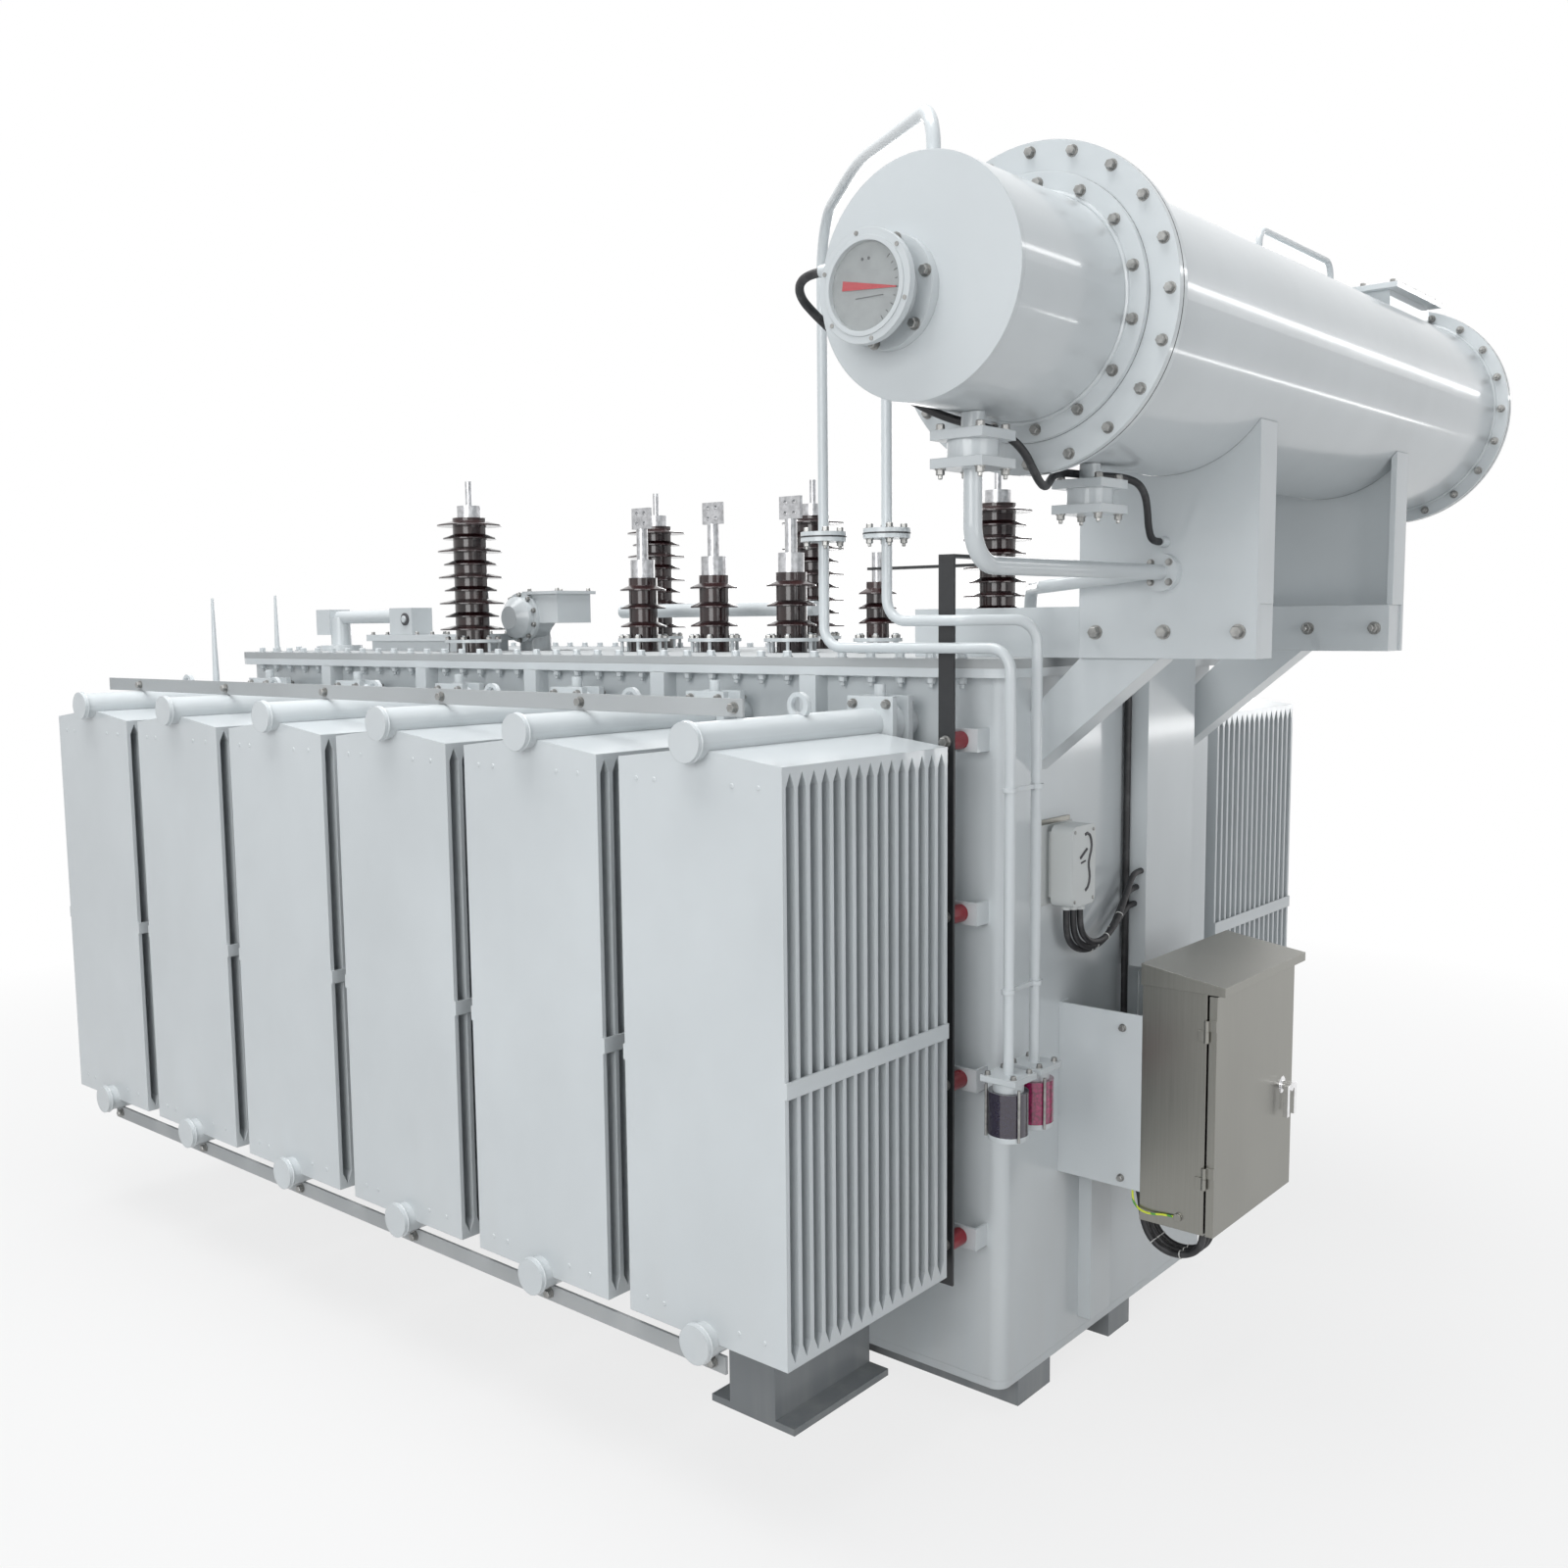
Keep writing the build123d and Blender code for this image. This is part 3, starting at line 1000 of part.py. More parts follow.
hatchway += block(lip_x0, lip_x1, HATCHWAY_Y0 + HATCHWAY_LIP, hatchway_y1 - HATCHWAY_LIP, cover_top, curb_top)
save("cover_hatchway", hatchway)
gear_x = GEAR_INSET - half_length
gear = rod_x(GEAR_RADIUS, gear_x - GEAR_LENGTH, gear_x, GEAR_Y, GEAR_AXIS_Z)
gear += rod_z(GEAR_RADIUS, cover_top, GEAR_AXIS_Z, gear_x - GEAR_LENGTH / 2, GEAR_Y)
box_mid = gear_x + GEAR_BOX / 2
box_low = cover_top + GEAR_BOX_LIFT
lid_z = box_low + GEAR_BOX_HEIGHT
gear += Pos(box_mid, GEAR_Y, box_low + GEAR_BOX_HEIGHT / 2) * Box(GEAR_BOX, GEAR_BOX, GEAR_BOX_HEIGHT)
gear += Pos(box_mid, GEAR_Y, lid_z + GEAR_LID_THICK / 2) * Box(GEAR_LID, GEAR_LID, GEAR_LID_THICK)
dome_x = gear_x - DOME_SHIFT
dome_y = GEAR_Y - GEAR_BOX / 2
dome_front = dome_y - DOME_LENGTH
gear += rod_y(DOME_RADIUS, dome_front, GEAR_Y, dome_x, DOME_Z)
gear += rod_y(DOME_FLANGE, dome_y - DOME_FLANGE_THICK, dome_y, dome_x, DOME_Z)
tip_y = dome_front - DOME_TIP_LENGTH / 2
gear += Pos(dome_x, tip_y, DOME_Z) * Rot(90, 0, 0) * Cone(DOME_RADIUS, DOME_TIP_RADIUS, DOME_TIP_LENGTH)
save("tap_changer_gear", gear)
manifold = rod_x(MANIFOLD_RADIUS, MANIFOLD_X0, MANIFOLD_X1, MANIFOLD_Y, MANIFOLD_Z)
for x in (MANIFOLD_X0 + MANIFOLD_INSET, MANIFOLD_X1 - MANIFOLD_INSET):
    manifold += rod_z(MANIFOLD_POST_RADIUS, cover_top, MANIFOLD_Z, x, MANIFOLD_Y)
save("oil_manifold", manifold)
post_x = POST_INSET - half_length
post_z = cover_top + POST_HEIGHT / 2
post = Pos(post_x, POST_Y, post_z) * Cone(POST_FOOT_RADIUS, POST_TIP_RADIUS, POST_HEIGHT)
tall_y = TALL_POST_INSET - radiator_face
tall_z = HEADER_TOP_Z + HEADER_RADIUS - TALL_POST_SINK
tall_mid = tall_z + TALL_POST_HEIGHT / 2
tall_post = Pos(-first_x, tall_y, tall_mid) * Cone(TALL_POST_FOOT, POST_TIP_RADIUS, TALL_POST_HEIGHT)
tall_post -= rod_y(HEADER_RADIUS + SEAT_CLEAR, -radiator_face, -header_inner, -first_x, HEADER_TOP_Z)
save("cover_post", post, tall_post)
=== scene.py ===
"""Looks of an oil-filled power transformer: finishes, fasteners, dials, leads, studio and camera."""
import json
import logging
import math
from dataclasses import dataclass, field
from enum import Enum
from typing import Any, Optional, Sequence, Union

import bpy
from mathutils import Matrix, Vector


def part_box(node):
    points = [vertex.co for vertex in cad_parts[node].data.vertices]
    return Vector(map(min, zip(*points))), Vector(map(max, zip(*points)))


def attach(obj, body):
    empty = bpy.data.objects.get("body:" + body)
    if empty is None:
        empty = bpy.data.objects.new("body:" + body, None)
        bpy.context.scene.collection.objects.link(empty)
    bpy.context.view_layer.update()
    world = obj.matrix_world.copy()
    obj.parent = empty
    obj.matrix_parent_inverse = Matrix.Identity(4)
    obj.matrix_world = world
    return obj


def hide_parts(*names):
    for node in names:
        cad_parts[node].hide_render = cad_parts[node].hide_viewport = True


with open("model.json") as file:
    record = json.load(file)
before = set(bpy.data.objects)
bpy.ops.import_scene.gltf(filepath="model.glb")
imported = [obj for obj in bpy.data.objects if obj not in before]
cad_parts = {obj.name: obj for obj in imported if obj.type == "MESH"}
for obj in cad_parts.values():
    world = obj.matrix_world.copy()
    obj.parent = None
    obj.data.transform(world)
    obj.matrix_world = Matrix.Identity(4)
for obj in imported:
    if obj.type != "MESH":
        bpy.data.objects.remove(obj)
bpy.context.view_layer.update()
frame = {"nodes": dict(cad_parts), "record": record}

LOG = logging.getLogger("transformer")
Color = tuple[float, float, float]
Point = tuple[float, float, float]
Range = tuple[float, float]
Profile = tuple[tuple[float, float], ...]
Inputs = dict[Union[str, int], Any]
WHITE = (1.0, 1.0, 1.0, 1.0)
FIXED_BODY = "transformer"
DOOR_BODY = "door"
PIPES = ("breather_pipe_front", "breather_pipe_rear", "oil_pipe", "conservator_grip")
SHARP_ANGLE = math.radians(32)
PIPE_ANGLE = math.radians(70)
DOWN = Vector((0, 0, -1))
UP = Vector((0, 0, 1))
FRONT = Vector((0, -1, 0))
BACK = Vector((0, 1, 0))
OUT = Vector((1, 0, 0))

# Shares of a bolt's width across its corners
WASHER_RADIUS, WASHER_THICK = 0.62, 0.12
HEAD_HEIGHT = 0.58
STUD_RADIUS, STUD_LENGTH, STUD_END = 0.27, 1.05, 1.15
# Shares of a head's height and radius where its chamfer starts and ends
CHAMFER_START, HEAD_TOP, NUT_TOP, STUD_TOP = 0.85, 0.86, 0.88, 0.7


class Socket:
    """A node output that can be used in plain arithmetic."""

    def __init__(self, graph: "Graph", output: bpy.types.NodeSocket) -> None:
        """Wrap one output.

        Args:
            graph: The tree that it is in.
            output: The node's output.
        """
        self.graph = graph
        self.output = output

    def _math(self, operation: str, first: Any, second: Any) -> "Socket":
        """Add a Math node.

        Args:
            operation: The Math node's operation.
            first: A number or a Socket.
            second: A number or a Socket.

        Returns:
            The node's result.
        """
        node = self.graph.node("ShaderNodeMath", {"operation": operation}, {0: first, 1: second})
        return Socket(self.graph, node.outputs[0])

    def __add__(self, other: Any) -> "Socket":
        """Sum."""
        return self._math("ADD", self, other)

    def __radd__(self, other: Any) -> "Socket":
        """Reflected sum."""
        return self._math("ADD", other, self)

    def __sub__(self, other: Any) -> "Socket":
        """Difference."""
        return self._math("SUBTRACT", self, other)

    def __rsub__(self, other: Any) -> "Socket":
        """Reflected difference."""
        return self._math("SUBTRACT", other, self)

    def __mul__(self, other: Any) -> "Socket":
        """Product."""
        return self._math("MULTIPLY", self, other)

    def __rmul__(self, other: Any) -> "Socket":
        """Reflected product."""
        return self._math("MULTIPLY", other, self)

    def __gt__(self, other: Any) -> "Socket":
        """One where this value is the greater, else zero."""
        return self._math("GREATER_THAN", self, other)

    def fraction(self) -> "Socket":
        """The part after the decimal point.

        Returns:
            A value from 0 up to 1.
        """
        return self._math("FRACT", self, 0.0)

    def larger(self, other: Any) -> "Socket":
        """The larger of two values.

        Args:
            other: A number or a Socket.

        Returns:
            The larger one.
        """
        return self._math("MAXIMUM", self, other)

    def spread(self, low: float, high: float) -> "Socket":
        """The value stretched to the range from 0 to 1, and held there.

        Args:
            low: What becomes 0.
            high: What becomes 1.

        Returns:
            The stretched value.
        """
        inputs = {"Value": self, "From Min": low, "From Max": high}
        node = self.graph.node("ShaderNodeMapRange", {"clamp": True}, inputs)
        return Socket(self.graph, node.outputs[0])


class Graph:
    """The node tree of one material or world."""

    def __init__(self, owner: Union[bpy.types.Material, bpy.types.World]) -> None:
        """Start an empty tree.

        Args:
            owner: The material or the world that it belongs to.
        """
        self.owner = owner
        owner.use_nodes = True
        self.tree = owner.node_tree
        self.tree.nodes.clear()

    def node(
        self, kind: str, settings: Optional[dict[str, Any]] = None, inputs: Optional[Inputs] = None
    ) -> bpy.types.Node:
        """Add any node.

        Args:
            kind: The node's Blender type.
            settings: Attributes to set before the sockets.
            inputs: Values or Sockets by input name or number.

        Returns:
            The new node.
        """
        made = self.tree.nodes.new(kind)
        for key, value in (settings or {}).items():
            setattr(made, key, value)
        for key, value in (inputs or {}).items():
            if isinstance(value, Socket):
                self.tree.links.new(value.output, made.inputs[key])
            else:
                made.inputs[key].default_value = value
        return made

    def place(self, axis: str) -> Socket:
        """One coordinate of the surface point in the object's own space.

        Args:
            axis: X, Y or Z.

        Returns:
            The coordinate in metres.
        """
        coords = self.node("ShaderNodeTexCoord")
        split = self.node("ShaderNodeSeparateXYZ", None, {0: Socket(self, coords.outputs["Object"])})
        return Socket(self, split.outputs[axis])

    def noise(
        self, scale: Union[Point, float], detail: float = 3.0, roughness: float = 0.55
    ) -> Socket:
        """Cloudy noise in the object's own space.

        Args:
            scale: Cycles a metre, along each axis or along all.
            detail: Octaves.
            roughness: Weight of the finer octaves.

        Returns:
            A value about one half.
        """
        scales = scale if isinstance(scale, tuple) else (scale, scale, scale)
        coords = Socket(self, self.node("ShaderNodeTexCoord").outputs["Object"])
        mapped = self.node("ShaderNodeMapping", None, {"Vector": coords, "Scale": scales})
        inputs = {"Scale": 1.0, "Detail": detail, "Roughness": roughness}
        inputs["Vector"] = Socket(self, mapped.outputs[0])
        made = self.node("ShaderNodeTexNoise", None, inputs)
        return Socket(self, made.outputs[0])

    def blend(self, share: Union[Socket, float], first: Any, second: Any) -> Socket:
        """A colour between two others.

        Args:
            share: 0 gives the first, 1 the second.
            first: A colour or a Socket.
            second: A colour or a Socket.

        Returns:
            The mixed colour.
        """
        values = [value if isinstance(value, Socket) else (*value, 1.0) for value in (first, second)]
        made = self.node("ShaderNodeMix", {"data_type": "RGBA"}, {0: share, 6: values[0], 7: values[1]})
        return Socket(self, made.outputs[2])

    def bump(
        self, height: Socket, distance: float, strength: float, normal: Optional[Socket] = None
    ) -> Socket:
        """A normal bent by a height map.

        Args:
            height: The height, from 0 to 1.
            distance: Metres that a height of 1 stands for.
            strength: How much of the bend to use.
            normal: A normal to start from.

        Returns:
            The bent normal.
        """
        inputs = {"Height": height, "Distance": distance, "Strength": strength}
        if normal is not None:
            inputs["Normal"] = normal
        made = self.node("ShaderNodeBump", None, inputs)
        return Socket(self, made.outputs[0])

    def soft_edge(self, radius: float) -> Socket:
        """A normal that rounds sharp edges.

        Args:
            radius: The rounding's radius in metres.

        Returns:
            The rounded normal.
        """
        made = self.node("ShaderNodeBevel", {"samples": 4}, {"Radius": radius})
        return Socket(self, made.outputs[0])

    def finish(self, inputs: Inputs) -> bpy.types.Material:
        """Close the material with one principled shader.

        Args:
            inputs: Its sockets' values or links.

        Returns:
            The material.
        """
        shader = self.node("ShaderNodeBsdfPrincipled", None, inputs)
        self.node("ShaderNodeOutputMaterial", None, {0: Socket(self, shader.outputs[0])})
        return self.owner

    def close(self, output: str, share: Socket, first: bpy.types.Node, second: bpy.types.Node) -> None:
        """End the tree with a mix of two shaders.

        Args:
            output: The output node's Blender type.
            share: 0 shows the first shader, 1 the second.
            first: A shader node.
            second: Another shader node.
        """
        inputs = {0: share, 1: Socket(self, first.outputs[0]), 2: Socket(self, second.outputs[0])}
        mixed = self.node("ShaderNodeMixShader", None, inputs)
        self.node(output, None, {0: Socket(self, mixed.outputs[0])})


def shade(color: Color, factor: float) -> Color:
    """A colour made darker or lighter.

    Args:
        color: The colour.
        factor: What each channel is multiplied by.

    Returns:
        The new colour.
    """
    return tuple(channel * factor for channel in color)


@dataclass(frozen=True)
class Finish:
    """A worn plain surface; lengths in metres, noise in cycles a metre."""

    name: str
    color: Color
    roughness: float
    metallic: float = 0.0
    edge: float = 0.0
    wear: float = 0.15
    mottle: float = 35.0
    relief: float = 0.0003
    relief_strength: float = 0.2
    octaves: float = 4.0
    tone_range: Range = (0.4, 0.7)

    def rounded(self, graph: Graph) -> Optional[Socket]:
        """The normal with softened edges.

        Args:
            graph: The material's nodes.

        Returns:
            The normal, or nothing where edges stay sharp.
        """
        return graph.soft_edge(self.edge) if self.edge > 0 else None

    def dress(self, graph: Graph) -> Inputs:
        """The shader's inputs; each finish has its own way.

        Args:
            graph: The material's nodes.

        Returns:
            Values or links by socket name.
        """
        tone = graph.noise(self.mottle, self.octaves)
        worn = shade(self.color, 1 - self.wear)
        return {
            "Base Color": graph.blend(tone.spread(*self.tone_range), self.color, worn),
            "Roughness": self.roughness + self.wear * (tone - 0.5),
            "Metallic": self.metallic,
            "Normal": graph.bump(tone, self.relief, self.relief_strength, self.rounded(graph)),
        }

    def build(self) -> bpy.types.Material:
        """Make the material.

        Returns:
            The material.
        """
        graph = Graph(bpy.data.materials.new(self.name))
        return graph.finish(self.dress(graph))


@dataclass(frozen=True)
class Paint(Finish):
    """Sprayed gloss paint with a faint orange peel, cloudy tone and dust on low parts."""

    tone_range: Range = (0.35, 0.7)
    coat: float = 0.5
    coat_roughness: float = 0.09
    sheen: float = 0.25
    cloud: float = 0.1
    cloud_scale: Point = (1.6, 1.6, 1.1)
    cloud_roughness: float = 0.12
    peel: float = 0.00025
    peel_scale: float = 160.0
    peel_strength: float = 0.35
    dust: Color = (0.55, 0.54, 0.52)
    dust_top: float = 0.9
    dust_share: float = 0.35
    streak_scale: Point = (9.0, 9.0, 0.8)
    streak_octaves: float = 5.0
    streak_range: Range = (0.45, 0.8)

    def dress(self, graph: Graph) -> Inputs:
        """The shader's inputs, with the cloudy tone, the dust and the peel.

        Args:
            graph: The material's nodes.

        Returns:
            Values or links by socket name.
        """
        tone = graph.noise(self.cloud_scale, self.octaves)
        cloudy = shade(self.color, 1 - self.cloud)
        color = graph.blend(tone.spread(*self.tone_range), self.color, cloudy)
        streaks = graph.noise(self.streak_scale, self.streak_octaves).spread(*self.streak_range)
        low = 1.0 - graph.place("Z").spread(0.0, self.dust_top)
        inputs = {
            "Base Color": graph.blend(low * streaks * self.dust_share, color, self.dust),
            "Roughness": self.roughness + self.cloud_roughness * (tone - 0.5),
            "Specular IOR Level": self.sheen,
            "Coat Weight": self.coat,
            "Coat Roughness": self.coat_roughness,
        }
        if self.peel > 0:
            fine = graph.noise(self.peel_scale, 1.0)
            inputs["Normal"] = graph.bump(fine, self.peel, self.peel_strength, self.rounded(graph))
        return inputs


@dataclass(frozen=True)
class BrushedSteel(Finish):
    """Stainless sheet with a fine upright grain."""

    tone_range: Range = (0.3, 0.7)
    grain: Point = (220.0, 220.0, 3.0)
    grain_fine: float = 0.7
    grain_share: float = 0.6
    grain_gloss: float = 0.2
    grain_depth: float = 0.0002
    grain_strength: float = 0.25
    cloud: Point = (3.0, 3.0, 2.0)
    cloud_octaves: float = 3.0
    dark: float = 0.82

    def dress(self, graph: Graph) -> Inputs:
        """The shader's inputs, with the grain in tone, roughness and height.

        Args:
            graph: The material's nodes.

        Returns:
            Values or links by socket name.
        """
        grain = graph.noise(self.grain, self.octaves, self.grain_fine)
        cloud = graph.noise(self.cloud, self.cloud_octaves)
        mixed = self.grain_share * grain + (1 - self.grain_share) * cloud
        tone = mixed.spread(*self.tone_range)
        normal = graph.bump(grain, self.grain_depth, self.grain_strength, self.rounded(graph))
        return {
            "Base Color": graph.blend(tone, shade(self.color, self.dark), self.color),
            "Roughness": self.roughness + self.grain_gloss * (grain - 0.5),
            "Metallic": 1.0,
            "Normal": normal,
        }


@dataclass(frozen=True)
class Glaze(Finish):
    """Brown glazed porcelain, redder in patches."""

    patch: Color = (0.04, 0.012, 0.012)
    tone_range: Range = (0.4, 0.75)
    patch_scale: float = 14.0
    patch_gloss: float = 0.08
    relief: float = 0.0008
    coat: float = 0.3
    coat_roughness: float = 0.05

    def dress(self, graph: Graph) -> Inputs:
        """The shader's inputs, with a mottled glaze.

        Args:
            graph: The material's nodes.

        Returns:
            Values or links by socket name.
        """
        mottle = graph.noise(self.patch_scale, self.octaves)
        return {
            "Base Color": graph.blend(mottle.spread(*self.tone_range), self.color, self.patch),
            "Roughness": self.roughness + self.patch_gloss * mottle,
            "Coat Weight": self.coat,
            "Coat Roughness": self.coat_roughness,
            "Normal": graph.bump(mottle, self.relief, self.relief_strength, self.rounded(graph)),
        }


@dataclass(frozen=True)
class Galvanised(Finish):
    """Zinc-plated steel with a soft spangle."""

    octaves: float = 2.0
    tone_range: Range = (0.35, 0.65)
    spangle: float = 60.0
    spangle_gloss: float = 0.15
    dark: float = 0.7

    def dress(self, graph: Graph) -> Inputs:
        """The shader's inputs, with the spangle.

        Args:
            graph: The material's nodes.

        Returns:
            Values or links by socket name.
        """
        spangle = graph.noise(self.spangle, self.octaves)
        dark = shade(self.color, self.dark)
        return {
            "Base Color": graph.blend(spangle.spread(*self.tone_range), dark, self.color),
            "Roughness": self.roughness + self.spangle_gloss * (spangle - 0.5),
            "Metallic": self.metallic,
        }


@dataclass(frozen=True)
class Ribbed(Finish):
    """A black lead with a fine slanting rib and a dusty sheen."""

    octaves: float = 3.0
    tone_range: Range = (0.5, 0.8)
    ribs: float = 130.0
    rib_depth: float = 0.0008
    rib_strength: float = 0.4
    slant: tuple[float, float] = (0.35, 0.6)
    dust_scale: float = 25.0
    dust: float = 0.05

    def dress(self, graph: Graph) -> Inputs:
        """The shader's inputs, with the ribs as height.

        Args:
            graph: The material's nodes.

        Returns:
            Values or links by socket name.
        """
        slant_x, slant_y = self.slant
        along = graph.place("Z") + slant_y * graph.place("Y") + slant_x * graph.place("X")
        rib = (along * self.ribs).fraction()
        dusty = tuple(channel + self.dust for channel in self.color)
        tone = graph.noise(self.dust_scale, self.octaves).spread(*self.tone_range)
        return {
            "Base Color": graph.blend(tone, self.color, dusty),
            "Roughness": self.roughness,
            "Normal": graph.bump(rib, self.rib_depth, self.rib_strength),
        }


@dataclass(frozen=True)
class Striped(Finish):
    """An earth wire's sheath in two colours."""

    second: Color = (0.08, 0.32, 0.05)
    pitch: float = 0.05
    share: float = 0.7

    def dress(self, graph: Graph) -> Inputs:
        """The shader's inputs, with the stripe along the wire.

        Args:
            graph: The material's nodes.

        Returns:
            Values or links by socket name.
        """
        turns = (graph.place("X") + graph.place("Z")) * (1 / self.pitch)
        color = graph.blend(turns.fraction() > self.share, self.color, self.second)
        return {"Base Color": color, "Roughness": self.roughness}


@dataclass(frozen=True)
class Gel(Finish):
    """A clear cup of drying beads; the cup past a line across Y holds the second colour."""

    second: Color = (0.42, 0.015, 0.12)
    line_y: float = -0.72
    beads: float = 130.0
    bead_range: Range = (0.1, 0.8)
    bead_depth: float = 0.001
    bead_strength: float = 0.3
    # The colour of the gaps between the beads: painted shade
    bead_gap_shade: Color = (0.02, 0.01, 0.02)
    bead_gap_shade_share: float = 0.6
    wall_roughness: float = 0.03

    def dress(self, graph: Graph) -> Inputs:
        """The shader's inputs, with the beads seen through the wall and painted shade darkening the gaps
        between them.

        Args:
            graph: The material's nodes.

        Returns:
            Values or links by socket name.
        """
        coords = Socket(graph, graph.node("ShaderNodeTexCoord").outputs["Object"])
        inputs = {"Vector": coords, "Scale": self.beads}
        cells = graph.node("ShaderNodeTexVoronoi", None, inputs)
        bead = Socket(graph, cells.outputs["Distance"]).spread(*self.bead_range)
        gel = graph.blend(graph.place("Y") > self.line_y, self.color, self.second)
        return {
            # The gaps between the beads are darkened toward the gap colour: painted shade
            "Base Color": graph.blend(bead * self.bead_gap_shade_share, gel, self.bead_gap_shade),
            "Roughness": self.roughness,
            "Coat Weight": 1.0,
            "Coat Roughness": self.wall_roughness,
            "Normal": graph.bump(bead, self.bead_depth, self.bead_strength),
        }


@dataclass(frozen=True)
class ClearGlass(Finish):
    """A thin clear pane."""

    clear: float = 0.95

    def dress(self, graph: Graph) -> Inputs:
        """The shader's inputs, mostly see-through.

        Args:
            graph: The material's nodes.

        Returns:
            Values or links by socket name.
        """
        color = (*self.color, 1.0)
        return {"Base Color": color, "Roughness": self.roughness, "Alpha": 1 - self.clear}


class Coat(Enum):
    """The finishes, by the record's material slots and by small trim."""

    TANK = Paint("tank_paint", (0.60, 0.635, 0.65), 0.3, edge=0.003)
    BASE = Paint("base_paint", (0.25, 0.265, 0.275), 0.42, edge=0.003, coat=0.15, dust_top=0.3)
    PORCELAIN = Glaze("porcelain", (0.013, 0.005, 0.006), 0.12, edge=0.003)
    TERMINAL = Galvanised("terminal_metal", (0.58, 0.585, 0.60), 0.32, metallic=0.85)
    CUP = Gel("breather_glass", (0.03, 0.025, 0.05), 0.12)
    STAINLESS = BrushedSteel("stainless", (0.30, 0.297, 0.272), 0.34, edge=0.002)
    HANDLE = Finish("handle_metal", (0.88, 0.88, 0.89), 0.1, metallic=1.0, edge=0.002)
    BLACK = Finish("black_paint", (0.022, 0.023, 0.025), 0.42, edge=0.001)
    RED = Finish("red_resin", (0.24, 0.01, 0.02), 0.3, edge=0.003)
    CASE = Paint("cast_case", (0.58, 0.60, 0.595), 0.4, edge=0.004, coat=0.2, peel=0.0004)
    CABLE = Ribbed("cable_black", (0.014, 0.014, 0.016), 0.5)
    PIPE = Paint("pipe_paint", (0.60, 0.635, 0.65), 0.3, peel=0.0)
    # The tank's paint made darker as painted shade on the cover and the tie bars, and made matt
    SHADED_DECK = Paint("deck_paint_shaded", (0.44, 0.455, 0.46), 0.7, edge=0.003, coat=0.0, sheen=0.1)
    TIE = Finish("tie_white", (0.62, 0.62, 0.60), 0.5)
    WIRE = Striped("earth_wire_sheath", (0.62, 0.70, 0.05), 0.4)
    ZINC = Galvanised("zinc_bolts", (0.36, 0.36, 0.35), 0.38, metallic=0.85)
    DIAL = Finish("dial_face", (0.30, 0.315, 0.315), 0.5)
    POINTER = Finish("red_pointer", (0.42, 0.006, 0.016), 0.4)
    MARK = Finish("dial_marks", (0.06, 0.06, 0.065), 0.5)
    PANE = ClearGlass("gauge_pane", (0.9, 0.95, 0.95), 0.05)


class Workshop:
    """Keeps one material for each finish."""

    def __init__(self) -> None:
        """Start with no material made."""
        self.made: dict[Coat, bpy.types.Material] = {}

    def material(self, coat: Coat) -> bpy.types.Material:
        """The material of a finish, made on first use.

        Args:
            coat: The finish.

        Returns:
            Its material.
        """
        if coat not in self.made:
            self.made[coat] = coat.value.build()
        return self.made[coat]


WORKSHOP = Workshop()
# Pipes keep the tank's paint without its peel; the cover and the tie bars get its darker copy, which is
# painted shade
OWN_COATS = {**dict.fromkeys(PIPES, Coat.PIPE), "tank_cover": Coat.SHADED_DECK, "tie_bars": Coat.SHADED_DECK}


def square_to(axis: Vector) -> tuple[Vector, Vector]:
    """Two directions square to an axis and to each other.

    Args:
        axis: The axis.

    Returns:
        The two directions.
    """
    helper = UP if abs(axis.z) < 0.9 else OUT
    side = axis.cross(helper).normalized()
    return side, axis.cross(side).normalized()


